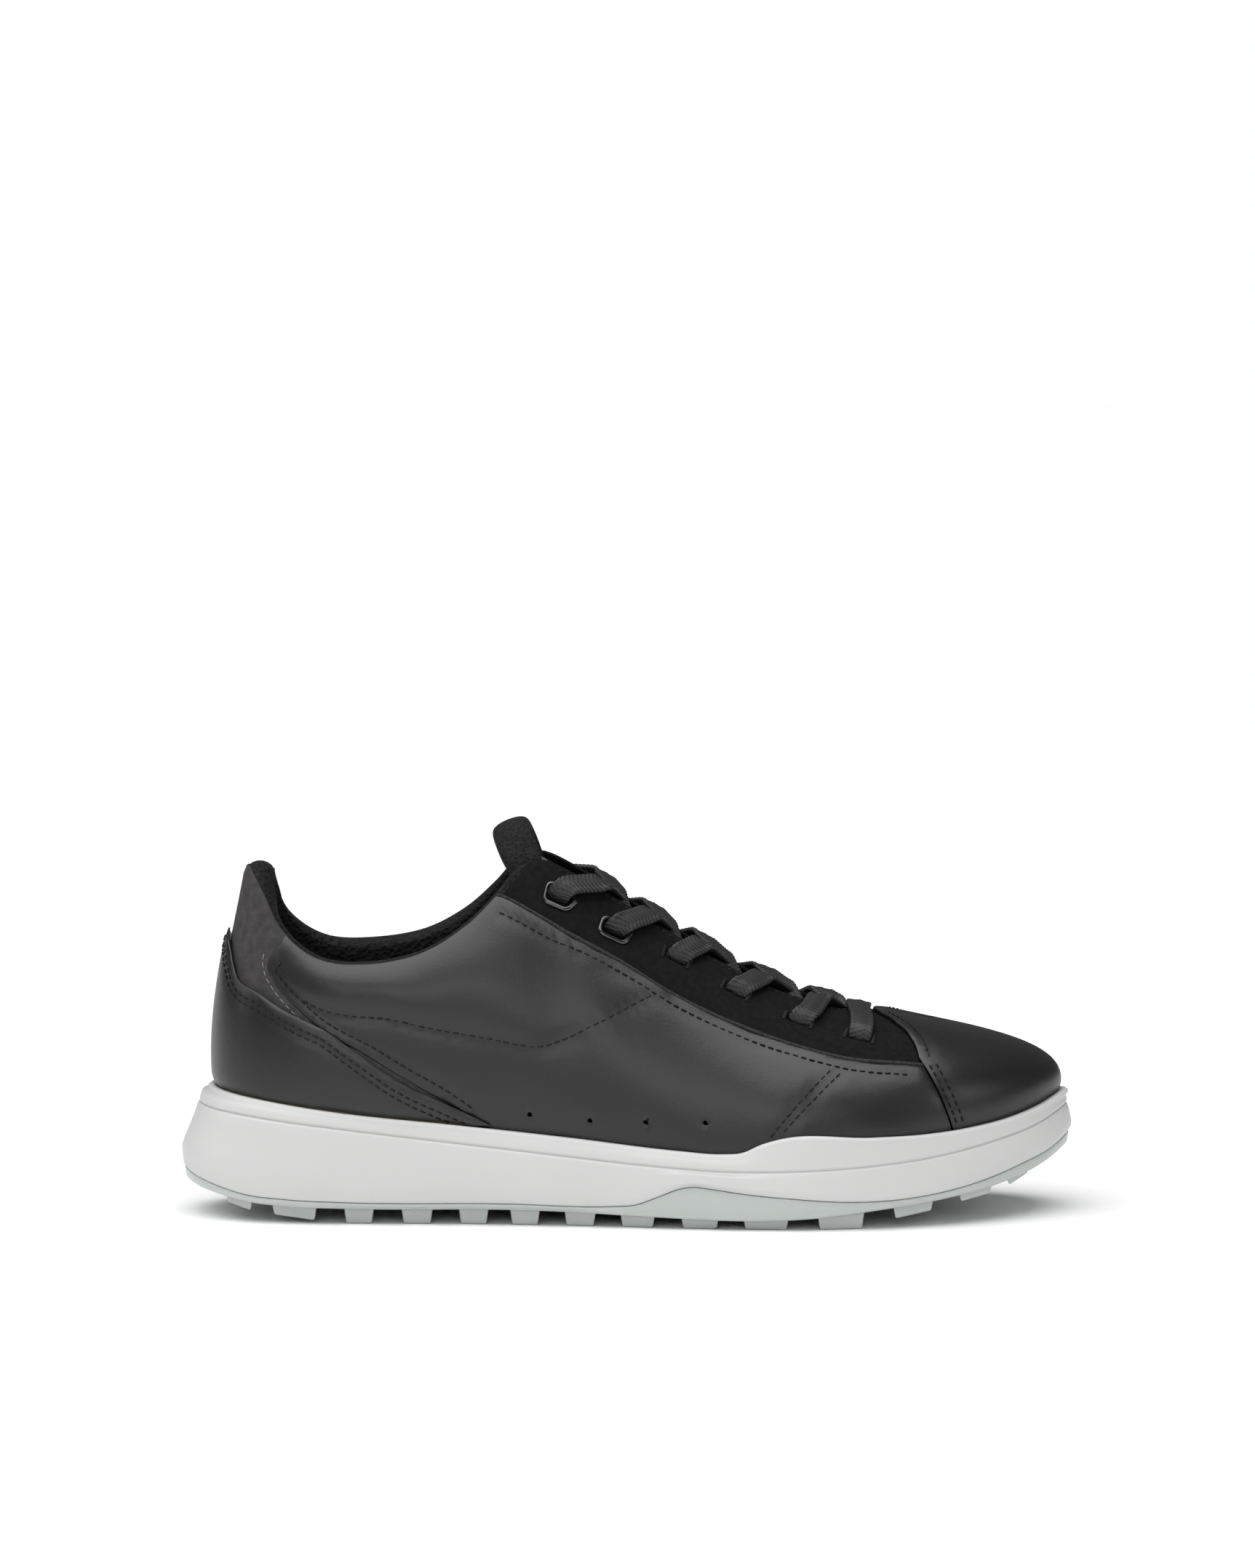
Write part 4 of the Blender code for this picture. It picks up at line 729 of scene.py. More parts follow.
LUG_SPANS = [(-134, -124.5), (-118, -103), (-94, -84), (-75, -64.5), (-56, -46), (-39, -29), (-21, -10.5),
             (-2.5, 9), (17.5, 30), (38, 53), (62.5, 78), (87.5, 101), (109.5, 121), (126, 134)]
LUG_DEPTH = 11.0
LUG_TAPER = 0.8
LUG_INSET = 0.4
LUG_OVERLAP = 0.8
INNER_LUG_WIDTH = 8.5
INNER_LUG_PITCH = 15.0
HALF_RING = np.linspace(0, TOE, 201)
LATERAL_OUTLINE = seat_outline(HALF_RING)[0]
MEDIAL_OUTLINE = seat_outline(STATIONS - HALF_RING)[0]


def block(corners_low, corners_high):
    """Vertices and faces of a six-sided block from two four-corner loops."""
    vertices = [tuple(c) for c in corners_low] + [tuple(c) for c in corners_high]
    faces = [(3, 2, 1, 0), (4, 5, 6, 7)] + [(k, (k + 1) % 4, (k + 1) % 4 + 4, k + 4) for k in range(4)]
    return vertices, faces


def outsole_half_widths(x):
    """Lateral and medial y of the outsole's lower edge at x."""
    inset = flare_width(x) - 4.0
    lateral = np.interp(x, LATERAL_OUTLINE[:, 0], LATERAL_OUTLINE[:, 1]) - inset
    medial = np.interp(x, MEDIAL_OUTLINE[:, 0], MEDIAL_OUTLINE[:, 1]) + inset
    return float(lateral), float(medial)


def lug(x0, x1, y_at_x0, y_at_x1):
    """One tapered lug: y ranges are given at its rear and front ends."""
    low, high = [], []
    for x, (ya, yb) in ((x0, y_at_x0), (x1, y_at_x1)):
        inward = LUG_TAPER if x == x0 else -LUG_TAPER
        ground, ceiling = max(float(ground_height(x + inward)), 0.0), float(tread_ceiling(x)) + LUG_OVERLAP
        low.append([(x + inward, ya + LUG_TAPER, ground), (x + inward, yb - LUG_TAPER, ground)])
        high.append([(x, ya, ceiling), (x, yb, ceiling)])
    corners_low = [low[0][0], low[1][0], low[1][1], low[0][1]]
    corners_high = [high[0][0], high[1][0], high[1][1], high[0][1]]
    return block(corners_low, corners_high)


def lug_places():
    """Every lug as (x0, x1, y range at x0, y range at x1)."""
    places = []
    for x0, x1 in LUG_SPANS:
        rear, front = outsole_half_widths(x0), outsole_half_widths(x1)
        for side_index, near, far in ((0, LUG_INSET, LUG_DEPTH), (1, -LUG_DEPTH, -LUG_INSET)):
            spans = [(end[side_index] + near, end[side_index] + far) for end in (rear, front)]
            places.append((x0, x1, *spans))
        middle = ((rear[0] + front[0]) / 2 + LUG_DEPTH, (rear[1] + front[1]) / 2 - LUG_DEPTH)
        free = middle[1] - middle[0]
        count = int((free - 4) // INNER_LUG_PITCH)
        for k in range(count):
            centre = (middle[0] + middle[1]) / 2 + (k - (count - 1) / 2) * INNER_LUG_PITCH
            span = (centre - INNER_LUG_WIDTH / 2, centre + INNER_LUG_WIDTH / 2)
            places.append((x0 + 1.0, x1 - 1.0, span, span))
    return places


# Upper outlines ---------------------------------------------------------------------------------

QUARTER_REAR = seam([side(-113.8, 94.6), side(-118.5, 88.5), side(-119.8, 84), side(-117, 79),
                     side(-110, 71.5), side(-100.8, 63.6), side(-88, 56.6), side(-73.8, 48), side(-60, 40),
                     side(-45, 28)])
TAB_FRONT = seam([side(-108.5, 90.8), side(-113, 86), side(-113.4, 82.5), side(-110.5, 78), side(-104, 72),
                  side(-95, 65.5), side(-83, 59), side(-69, 50), side(-55, 40.5), side(-40, 27)])
QUARTER_TOP = seam([side(-43.6, 108.4), side(-32, 103), side(-19, 95.8), side(-2, 86.8), side(18, 74.7),
                    side(46.6, 62.7), side(61, 58.3), side(75, 55.3), side(89.5, 54), side(98, 53)])
VAMP_SEAM = seam([side(98, 53), side(102, 46), side(105.5, 38), side(108.5, 27)])
FACING_FRONT = seam([plan(96.5, -32), plan(93.5, -22), plan(88, -12), plan(83.5, -4), (17.55, 1.0)])
FACING_UNDERLAP = seam([side(-44.5, 104), side(-34, 97), side(-20, 89.8), side(-4, 81), side(16, 69.5),
                        side(44, 57.5), side(60, 53), side(75, 50), side(90, 48.5), side(100, 47.5)])
CAP_TOP = seam([station(0, 95), station(0.7, 91.5), station(1.3, 84), side(-128, 78.5), side(-119.8, 74.3),
                side(-107, 67.3), side(-98.8, 63.4), side(-88, 56), side(-73.8, 46.7), side(-57, 39),
                side(-43, 32.2)])
SPINE_START = 17.0


def seat_crossing(line):
    """Station where a line that runs down reaches the seat."""
    return float(line[-1][0])


def clipped_to_seat(line):
    """The line with its lower end dropped straight onto the seat."""
    line = np.array(line)
    line[-1][1] = 0.0
    return line


def quarter_outline():
    """Lateral quarter: collar, throat edge, front seam, seat and rear seam."""
    rear = clipped_to_seat(moved(QUARTER_REAR, 0.25))
    front = clipped_to_seat(moved(VAMP_SEAM, -0.25))
    edge = moved(QUARTER_TOP, -0.2)
    edge[0][1] = 1.0
    rear[0][1] = 1.0
    collar = level_run(rear[0][0], edge[0][0], 1.0)
    seat = level_run(seat_crossing(front), seat_crossing(rear), 0.0)
    return joined(collar, edge, front, seat, rear[::-1])


def vamp_outline():
    """Toe leather: seam, seat, medial seam, then over the ridge along the facing's front edge."""
    seam_line = clipped_to_seat(moved(VAMP_SEAM, 0.25))
    facing = FACING_FRONT
    seat = level_run(seat_crossing(seam_line), STATIONS - seat_crossing(seam_line), 0.0)
    ridge = level_run(facing[-1][0], TOE, 1.0)
    return joined(facing[::-1], seam_line, seat, mirrored(seam_line), mirrored(facing[::-1]), mirrored(ridge),
                  ridge[::-1])


def facing_outline():
    """Lateral half of the eyelet facing: it runs on under the quarter and the vamp."""
    front = moved(FACING_FRONT, -5.0)
    front[-1][1] = 1.0
    rear = FACING_UNDERLAP[0][0] - 0.2
    crossing = level_run(front[-1][0], SPINE_START, 1.0)
    top = level_run(SPINE_START, rear, 1.0)
    return joined(FACING_UNDERLAP, front, crossing, top)


def heel_tab_outline():
    """Nubuck heel tab, running on under both quarters."""
    edge = clipped_to_seat(TAB_FRONT)
    edge[0][1] = 1.0
    collar = level_run(-edge[0][0], edge[0][0], 1.0)
    seat = level_run(seat_crossing(edge), -seat_crossing(edge), 0.0)
    return joined(collar, edge, seat, across_heel(edge))


def cap_outline():
    """Heel cap wrapped round the heel, its foot just above the midsole's rim."""
    foot = []
    for u in np.linspace(CAP_TOP[-1][0] - 0.4, 0, 14):
        x = float(seat_outline(u)[0][0])
        foot.append((u, climb_at_height(u, float(rim_height(x)) + 0.6)))
    lateral = np.vstack([CAP_TOP[:-1], foot])
    return joined(lateral, across_heel(lateral)[1:-1])


def smooth_step(value, low, high):
    """Ease from 0 at low to 1 at high."""
    share = np.clip((np.asarray(value, float) - low) / (high - low), 0, 1)
    return share * share * (3 - 2 * share)


def wrapped(u):
    """Distance in stations from the heel, the same on both sides."""
    u = np.mod(u, STATIONS)
    return np.minimum(u, STATIONS - u)


def padding(u, t):
    """Collar padding thickness: full below the collar edge, gone at the throat and low down."""
    return COLLAR_PADDING * smooth_step(t, 0.35, 0.7) * (1 - smooth_step(wrapped(u), 6.5, 9.0))


def lining_outline():
    """The whole last, opened along the heel's back and along the ridge over the toe.

    Along the throat the lining stops a little short of the facing's edge, which leaves room for the lace.
    """
    collar, throat = level_run(0, 9.8, 1.0), level_run(10.4, SPINE_START, 0.95)
    top = np.vstack([collar, throat, level_run(SPINE_START + 0.2, TOE, 1.0)])
    seat = level_run(0, TOE, 0.0)
    rise, fall = climb_run(0, 0.0, 1.0), climb_run(STATIONS, 1.0, 0.0)
    return joined(rise, top, mirrored(top), fall, mirrored(seat), seat[::-1])


# Eyelets ----------------------------------------------------------------------------------------

# Lateral eyelets from the top of the throat down: x and z on the side elevation.
EYELETS = [(-23, 108.6), (-4, 97.4), (16.7, 88.2), (36.3, 77.4), (57, 68), (77, 62.8)]
METAL_ROWS = 2
SLOT_LENGTH = 8.6
SLOT_WIDTH = 3.8
EYELET_BORE = (8.8, 5.2)
BARREL_WALL = 0.5


def eyelet_frame(row, medial):
    """Centre parameters of one eyelet and the (u, t) steps for a millimetre along and up the throat."""
    centre = np.array(side(*EYELETS[row]))
    ends = [np.array(side(*EYELETS[k])) for k in (max(row - 1, 0), min(row + 1, len(EYELETS) - 1))]
    if medial:
        centre[0], ends[0][0], ends[1][0] = (STATIONS - u for u in (centre[0], ends[0][0], ends[1][0]))
    step = 0.01
    u, t = centre
    per_u = (last(u + step, t) - last(u - step, t)) / (2 * step)
    per_t = (last(u, t + step) - last(u, t - step)) / (2 * step)
    normal = last_frame(u, t)[2]
    along = last(*ends[1]) - last(*ends[0])
    along -= normal * (along @ normal)
    along /= np.linalg.norm(along)
    uphill = np.cross(normal, along)
    if uphill[2] < 0:
        uphill = -uphill
    columns = np.stack([per_u, per_t], axis=1)
    steps = [np.linalg.lstsq(columns, way, rcond=None)[0] for way in (along, uphill)]
    return centre, steps, along


EYELET_FRAMES = {(row, medial): eyelet_frame(row, medial)
                 for row in range(len(EYELETS)) for medial in (False, True)}


def near_eyelet(row, medial, along, uphill):
    """(u, t) of a point some millimetres along the throat and uphill from an eyelet's centre."""
    centre, steps, _ = EYELET_FRAMES[row, medial]
    return centre + steps[0] * along + steps[1] * uphill


def rounded_rectangle(length, width, corner, steps=3):
    """Outline of a rounded rectangle about the origin."""
    points = []
    for k, (sx, sy) in enumerate(((1, 1), (-1, 1), (-1, -1), (1, -1))):
        for j in range(steps + 1):
            angle = math.pi / 2 * (k + j / max(steps, 1))
            points.append((sx * (length / 2 - corner) + corner * math.cos(angle),
                           sy * (width / 2 - corner) + corner * math.sin(angle)))
    return points


def eyelet_holes():
    """Slots through the facing and the lining: larger ones where a metal eyelet sits."""
    holes = []
    for row in range(len(EYELETS)):
        length, width = SLOT_LENGTH, SLOT_WIDTH
        if row < METAL_ROWS:
            length, width = (size + 2 * BARREL_WALL + 1.3 for size in EYELET_BORE)
        for medial in (False, True):
            edge = rounded_rectangle(length, width, width / 2 - 0.2, 2)
            holes.append(np.array([near_eyelet(row, medial, a, b) for a, b in edge]))
    return holes


# Materials ---------------------------------------------------------------------------------------

def pattern_node(nodes, links, place, texture, size):
    """Pattern of a given size in millimetres: grain, cells, or the rib heights stored on a braid, which the
    lace's colour uses as painted shade and painted highlight.
    """
    if texture == "ribs":
        pattern = nodes.new("ShaderNodeAttribute")
        pattern.attribute_name = "rib_height"
        return pattern.outputs["Fac"]
    pattern = nodes.new("ShaderNodeTexVoronoi" if texture == "cells" else "ShaderNodeTexNoise")
    pattern.inputs["Scale"].default_value = 1 / (size * MM)
    links.new(place, pattern.inputs["Vector"])
    return pattern.outputs["Distance" if texture == "cells" else "Fac"]


def finish(name, colour, roughness, bumps=(), mottle_and_shade=None, **settings):
    """Procedural material. Bumps are (texture, size in mm, depth in mm, strength); the colour pattern is
    (texture, size in mm, spread), random tone on most finishes, and painted shade and painted highlight on
    the lace.
    """
    material = bpy.data.materials.new(name)
    material.use_nodes = True
    nodes, links = material.node_tree.nodes, material.node_tree.links
    shader = nodes["Principled BSDF"]
    shader.inputs["Base Color"].default_value = (*colour, 1.0)
    shader.inputs["Roughness"].default_value = roughness
    for socket, value in settings.items():
        shader.inputs[socket.replace("_", " ")].default_value = value
    place = nodes.new("ShaderNodeTexCoord").outputs["Object"]
    chain = None
    for texture, size, depth, strength in bumps:
        bump = nodes.new("ShaderNodeBump")
        bump.inputs["Distance"].default_value = depth * MM
        bump.inputs["Strength"].default_value = strength
        links.new(pattern_node(nodes, links, place, texture, size), bump.inputs["Height"])
        if chain:
            links.new(chain, bump.inputs["Normal"])
        chain = bump.outputs["Normal"]
    if chain:
        links.new(chain, shader.inputs["Normal"])
    # Colour made darker and lighter about the base by the spread; on the lace this is painted shade in the
    # gaps and painted highlight on the ribs.
    if mottle_and_shade:
        texture, size, spread = mottle_and_shade
        ramp = nodes.new("ShaderNodeValToRGB")
        for stop, share in zip(ramp.color_ramp.elements, (1 - spread, 1 + spread)):
            stop.color = (*[min(part * share, 1.0) for part in colour], 1.0)
        ramp.color_ramp.elements[0].position = 0.3
        ramp.color_ramp.elements[1].position = 0.7
        links.new(pattern_node(nodes, links, place, texture, size), ramp.inputs["Fac"])
        links.new(ramp.outputs["Color"], shader.inputs["Base Color"])
    return material


def dress(thing, *materials):
    """Give an object its materials."""
    thing.data.materials.clear()
    for material in materials:
        thing.data.materials.append(material)
    return thing


LEATHER = finish("smooth_black_leather", (0.003, 0.003, 0.0032), 0.38,
                 [("noise", 9.0, 0.25, 0.35), ("cells", 0.9, 0.05, 0.35), ("noise", 0.35, 0.03, 0.3)],
                 ("noise", 14.0, 0.18), Specular_IOR_Level=0.6)
NUBUCK = finish("black_nubuck", (0.006, 0.006, 0.0062), 0.85, [("noise", 0.35, 0.06, 0.5)],
                ("noise", 2.0, 0.3), Specular_IOR_Level=0.12)
TAB_NUBUCK = finish("charcoal_nubuck", (0.048, 0.0455, 0.0455), 0.82, [("noise", 0.4, 0.06, 0.5)],
                    ("noise", 3.0, 0.22), Specular_IOR_Level=0.2)
# Both mesh colours follow the same cell pattern as their bumps: darker in its pits, lighter on its ridges.
SPACER_MESH = finish("spacer_mesh", (0.004, 0.004, 0.0042), 0.8,
                     [("cells", 1.5, 0.6, 0.9), ("noise", 0.3, 0.05, 0.4)],
                     ("cells", 1.5, 0.8), Specular_IOR_Level=0.3)
TONGUE_MESH = finish("tongue_mesh", (0.005, 0.005, 0.0052), 0.8, [("cells", 1.1, 0.45, 0.8)],
                     ("cells", 1.1, 0.8), Specular_IOR_Level=0.3)
THREAD = finish("black_thread", (0.004, 0.004, 0.004), 0.5, [("noise", 0.2, 0.04, 0.5)],
                Specular_IOR_Level=0.3)
GREY_THREAD = finish("grey_thread", (0.17, 0.165, 0.165), 0.6, [("noise", 0.2, 0.04, 0.5)])
RIM_FOAM = finish("midsole_smooth", (0.58, 0.58, 0.577), 0.42, [("noise", 3.0, 0.04, 0.2)],
                  ("noise", 40.0, 0.02))
WALL_FOAM = finish("midsole_pebbled", (0.58, 0.58, 0.577), 0.5,
                   [("noise", 1.1, 0.22, 0.55), ("noise", 0.45, 0.08, 0.4)], ("noise", 40.0, 0.02))
TREAD = finish("translucent_rubber", (0.63, 0.67, 0.65), 0.32, [("noise", 0.8, 0.03, 0.3)],
               Transmission_Weight=0.25, Subsurface_Weight=0.5, Subsurface_Radius=(0.004, 0.005, 0.0045),
               Subsurface_Scale=1.0, IOR=1.42)
GLOSS_METAL = finish("black_eyelet_metal", (0.012, 0.012, 0.013), 0.18, [("noise", 2.0, 0.01, 0.1)],
                     Metallic=0.2, Coat_Weight=1.0, Coat_Roughness=0.08)
STIFFENER = finish("stiffener_board", (0.3, 0.24, 0.17), 0.85, [("noise", 1.0, 0.05, 0.5)])
SPRING_STEEL = finish("shank_steel", (0.45, 0.45, 0.46), 0.35, [("noise", 4.0, 0.01, 0.2)], Metallic=1.0)
INLAY_CLOTH = finish("inlay_cloth", (0.02, 0.02, 0.021), 0.9, [("cells", 0.9, 0.15, 0.6)],
                     ("noise", 20.0, 0.15), Specular_IOR_Level=0.2)
LABEL_PATCH = finish("label_patch", (0.13, 0.13, 0.13), 0.55, [("noise", 0.5, 0.03, 0.4)])
# Lace colour follows the braid's stored rib heights: painted shade in the gaps between ribs, painted
# highlight on their tops.
LACE_BRAID = finish("lace_braid", (0.0125, 0.0125, 0.013), 0.5, [("noise", 0.25, 0.05, 0.5)],
                    ("ribs", 1.0, 0.85), Specular_IOR_Level=0.4)
RAW_EDGE = finish("raw_leather_edge", (0.02, 0.02, 0.02), 0.7, [("noise", 0.6, 0.3, 0.9)],
                  ("noise", 1.0, 0.6), Specular_IOR_Level=0.3)
LACE_END = finish("lace_end_film", (0.01, 0.01, 0.011), 0.2, [("noise", 1.0, 0.01, 0.2)])


# Upper pieces ------------------------------------------------------------------------------------

COLLAR_SEAM = seam([side(-107.8, 73.9), side(-82.3, 68.4), side(-68.3, 65.8), side(-50.2, 62.7),
                    side(-36.2, 60.0), side(-27.9, 59.7), side(-17.7, 63.4), side(-8.4, 68.0),
                    side(0.9, 72.9), side(10.2, 76.5)])
FOREFOOT_SEAMS = [seam([side(67, 52.4), side(46.6, 30.3)]), seam([side(70.2, 51.4), side(49.6, 30.6)])]
VENTS = [(-32.4, 36.9), (-12.5, 35.3), (5.9, 35.1), (25.5, 35.3)]
VENT_RADIUS = 0.75


def trimmed(line, start, end):
    """The part of a line between two shares of its points."""
    count = len(line)
    return np.array(line)[int(count * start):int(count * end)]


REAR_STITCH = trimmed(moved(QUARTER_REAR, 4.2), 0.05, 0.92)
TOP_STITCH = trimmed(moved(QUARTER_TOP, -4.4), 0.02, 0.97)
CAP_STITCHES = [trimmed(moved(CAP_TOP, -distance), 0.01, 0.93) for distance in (3.6, 5.8)]
CAP_LINES = CAP_STITCHES + [across_heel(line) for line in CAP_STITCHES]
VAMP_STITCHES = [trimmed(moved(VAMP_SEAM, distance), 0.04, 0.9) for distance in (1.9, 4.4)]
FACING_STITCH = trimmed(moved(FACING_FRONT, -3.4), 0.04, 0.97)
TAB_STITCH = trimmed(moved(QUARTER_REAR, -2.6), 0.1, 0.62)
THROAT_STITCH = moved(level_run(10.3, 16.8, 1.0), -2.6)
QUARTER_LINES = [REAR_STITCH, TOP_STITCH, COLLAR_SEAM] + FOREFOOT_SEAMS


def both(lines):
    """Lines of the lateral side and their medial twins."""
    return list(lines) + [mirrored(line) for line in lines]


PUFF_HEIGHT = 2.6
SLOW_WAVE = 0.22
FINE_WAVE = 0.12


def collar_puff(u, t):
    """Soft swelling of the leather over the collar padding, above the collar seam."""
    w = wrapped(u)
    order = np.argsort(COLLAR_SEAM[:, 0])
    foot = np.interp(w, COLLAR_SEAM[order, 0], COLLAR_SEAM[order, 1])
    climb = (np.asarray(t, float) - foot) / np.maximum(1.0 - foot, 0.1)
    swell = np.sin(np.pi * np.clip(climb, 0, 1))**0.8
    along = smooth_step(w, 2.6, 4.4) * (1 - smooth_step(w, 7.2, 9.6))
    return PUFF_HEIGHT * swell * along


def unevenness(points):
    """Slow waves of a hand-pulled leather upper, a few tenths of a millimetre high."""
    x, y, z = points[:, 0], points[:, 1], points[:, 2]
    waves = np.sin(x / 11.0 + 0.7 * np.sin(z / 9.0)) * np.cos(z / 13.0 + 0.9 * np.sin(x / 17.0))
    return SLOW_WAVE * waves + FINE_WAVE * np.sin(x / 5.1 + z / 6.3 + np.sign(y))


def no_swell(points, u, t):
    """Height of a panel that lies flat on the last."""
    return 0.0


def padded_leather(points, u, t):
    """Height of the quarter leather: swollen over the collar padding, and never quite even."""
    return collar_puff(u, t) + unevenness(points)


def rolled_face(outline, edge, furrow, lines=(), level=0.0, swell=no_swell):
    """Outer face of a panel. Edge is (radius, depth) of its roll, furrow (width, depth) at the stitches."""
    def relief(points, u, t):
        height = level + swell(points, u, t)
        return height - edge_roll(points, outline, *edge) - grooves(points, lines, *furrow)
    return relief


def vent_holes(medial):
    """Small round vents low in the quarter."""
    holes = []
    for x, z in VENTS:
        u, t = side(x, z)
        u_scale, t_scale = parameter_scales(u, t)
        hole = [(u + VENT_RADIUS * math.cos(a) / u_scale, t + VENT_RADIUS * math.sin(a) / t_scale)
                for a in np.linspace(0, 2 * math.pi, 12, endpoint=False)]
        holes.append(mirrored(hole) if medial else np.array(hole))
    return holes


# Edge rolls are (radius, depth); furrows at the stitches are (width, depth).
LEATHER_EDGE = (1.3, 0.55)
FURROW = (1.0, 0.35)
UPPER_MESH_STEP = 2.4
TAB_MESH_STEP = 3.0
TAB_RISE = 1.0


def build_upper():
    """The leather and nubuck panels."""
    vamp, quarter, cap = vamp_outline(), quarter_outline(), cap_outline()
    tab, facing = heel_tab_outline(), facing_outline()
    vamp_relief = rolled_face(vamp, LEATHER_EDGE, (1.1, 0.4), both(VAMP_STITCHES + [FACING_STITCH]))
    dress(panel("vamp_leather", [vamp], vamp_relief, SKIN_INNER, step=UPPER_MESH_STEP),
          LEATHER)
    for word, medial in (("lateral", False), ("medial", True)):
        outline = mirrored(quarter) if medial else quarter
        lines = [mirrored(line) if medial else line for line in QUARTER_LINES]
        relief = rolled_face(outline, LEATHER_EDGE, (1.2, 0.5), lines, swell=padded_leather)
        dress(panel(f"quarter_leather_{word}", [outline], relief, SKIN_INNER,
                    holes=vent_holes(medial), step=UPPER_MESH_STEP), LEATHER)
    cap_relief = rolled_face(cap, (1.5, 0.8), FURROW, CAP_LINES, CAP_LAYER[0])
    dress(panel("heel_cap_leather", [cap], cap_relief, CAP_LAYER[1], step=UPPER_MESH_STEP),
          LEATHER)
    tab_relief = rolled_face(tab, (2.2, 1.0), FURROW, level=BACKING_OUTER + TAB_RISE)
    dress(panel("heel_tab_nubuck", [tab], tab_relief, BACKING_INNER, step=TAB_MESH_STEP),
          TAB_NUBUCK)
    facing_relief = rolled_face(facing, (1.2, 0.4), FURROW, level=BACKING_OUTER)
    dress(panel("facing_nubuck", [facing, mirrored(facing)], facing_relief, BACKING_INNER,
                holes=eyelet_holes(), step=UPPER_MESH_STEP), NUBUCK)


EDGE_SIDES = 10
EDGE_HALF_WIDTH = 0.7
EDGE_HALF_HEIGHT = 0.85
EDGE_DEPTH = 0.75
EDGE_OUTSIDE = 0.25


def build_edges():
    """Raw leather edge along the eyelet facing: a slim raised bead on each side."""
    points, faces = [], []
    for line in both([moved(QUARTER_TOP, EDGE_OUTSIDE)]):
        line = even_steps(line, 1.5)
        u, t = line[:, 0], np.clip(line[:, 1], 0, 1)
        normal = last_frame(u, t)[2]
        across = np.cross(normal, np.gradient(last(u, t), axis=0))
        across /= np.linalg.norm(across, axis=1, keepdims=True)
        centre = last(u, t) - normal * EDGE_DEPTH
        start = len(points)
        for k in range(len(line)):
            for j in range(EDGE_SIDES):
                angle = 2 * math.pi * j / EDGE_SIDES
                beside = across[k] * EDGE_HALF_WIDTH * math.cos(angle)
                above = normal[k] * EDGE_HALF_HEIGHT * math.sin(angle)
                points.append(centre[k] + beside + above)
        faces += tube_faces(len(line), EDGE_SIDES, start)
    bead = new_object("raw_leather_edge", points, faces, "shoe")
    orient(bead)
    dress(bead, RAW_EDGE)


# Heights of the stitch rows above the last, in millimetres, and how deep quarter stitches sit.
QUARTER_SINK = 0.2
VAMP_STITCH_HEIGHT = -0.12
CAP_STITCH_HEIGHT = 1.5
THROAT_STITCH_RISE = -0.05
TAB_STITCH_RISE = 1.05
TAB_STITCH_RADIUS = 0.22


def build_stitches():
    """Every stitch row, grouped by the seam it belongs to."""
    def on_quarter(points, u, t):
        return padded_leather(points, u, t) - QUARTER_SINK

    runs = [(line, on_quarter) for line in both([REAR_STITCH, TOP_STITCH] + FOREFOOT_SEAMS)]
    runs += [(line, VAMP_STITCH_HEIGHT) for line in both(VAMP_STITCHES + [FACING_STITCH])]
    runs += [(line, CAP_STITCH_HEIGHT) for line in CAP_LINES]
    dress(stitch_row("seam_stitches", runs), THREAD)
    collar = [(line, on_quarter) for line in both([COLLAR_SEAM])]
    throat = [(line, BACKING_OUTER + THROAT_STITCH_RISE) for line in both([THROAT_STITCH])]
    dress(stitch_row("throat_stitches", throat), THREAD)
    dress(stitch_row("collar_stitches", collar), THREAD)
    tab_level = BACKING_OUTER + TAB_STITCH_RISE
    tab_runs = [(line, tab_level) for line in (TAB_STITCH, across_heel(TAB_STITCH))]
    dress(stitch_row("tab_stitches", tab_runs, TAB_STITCH_RADIUS), GREY_THREAD)


# Lining and collar -------------------------------------------------------------------------------

PADDING_FULLNESS = 1.1
LINING_MESH_STEP = 4.0
ROLL_END = 9.9
ROLL_RINGS = 150
ROLL_SIDES = 16
ROLL_THIN = 3.2
ROLL_HALF_HEIGHT = 3.2
ROLL_INSET = 1.55
ROLL_DROP = 1.4


def build_lining():
    """Padded lining, with a soft roll that stands a little above the collar's edge."""
    outline = lining_outline()

    def outer(points, u, t):
        return np.full(len(u), LINING_OUTER + 0.5)

    def inner(u, t):
        points = last(u, t)
        body = LINING_OUTER - LINING_THICKNESS - PADDING_FULLNESS * padding(u, t)
        return body + edge_roll(points, outline, 2.0, 0.6)

    lining = panel("lining_padded", [outline], outer, inner, holes=eyelet_holes(),
                   step=LINING_MESH_STEP)
    roll = collar_roll()
    for thing in (lining, roll):
        dress(thing, SPACER_MESH)
    return lining


def collar_roll():
    """Padded roll round the ankle opening, thick at the heel and thin towards the throat."""
    points = []
    for u in np.linspace(-ROLL_END, ROLL_END, ROLL_RINGS):
        _, up, normal = last_frame(u, 1.0)
        thick = 1.05 * float(padding(u, 1.0)) + ROLL_THIN
        taper = math.sqrt(max(0.02, 1 - (abs(u) / ROLL_END)**14))
        centre = last(u, 1.0) + normal * (-ROLL_INSET - thick / 2) - up * ROLL_DROP
        for k in range(ROLL_SIDES):
            angle = 2 * math.pi * k / ROLL_SIDES
            reach = normal * math.cos(angle) * thick / 2 + up * math.sin(angle) * ROLL_HALF_HEIGHT
            points.append(centre + reach * taper)
    return new_object("collar_roll", points, tube_faces(ROLL_RINGS, ROLL_SIDES), "shoe")


INLAY_INSET = 6.2


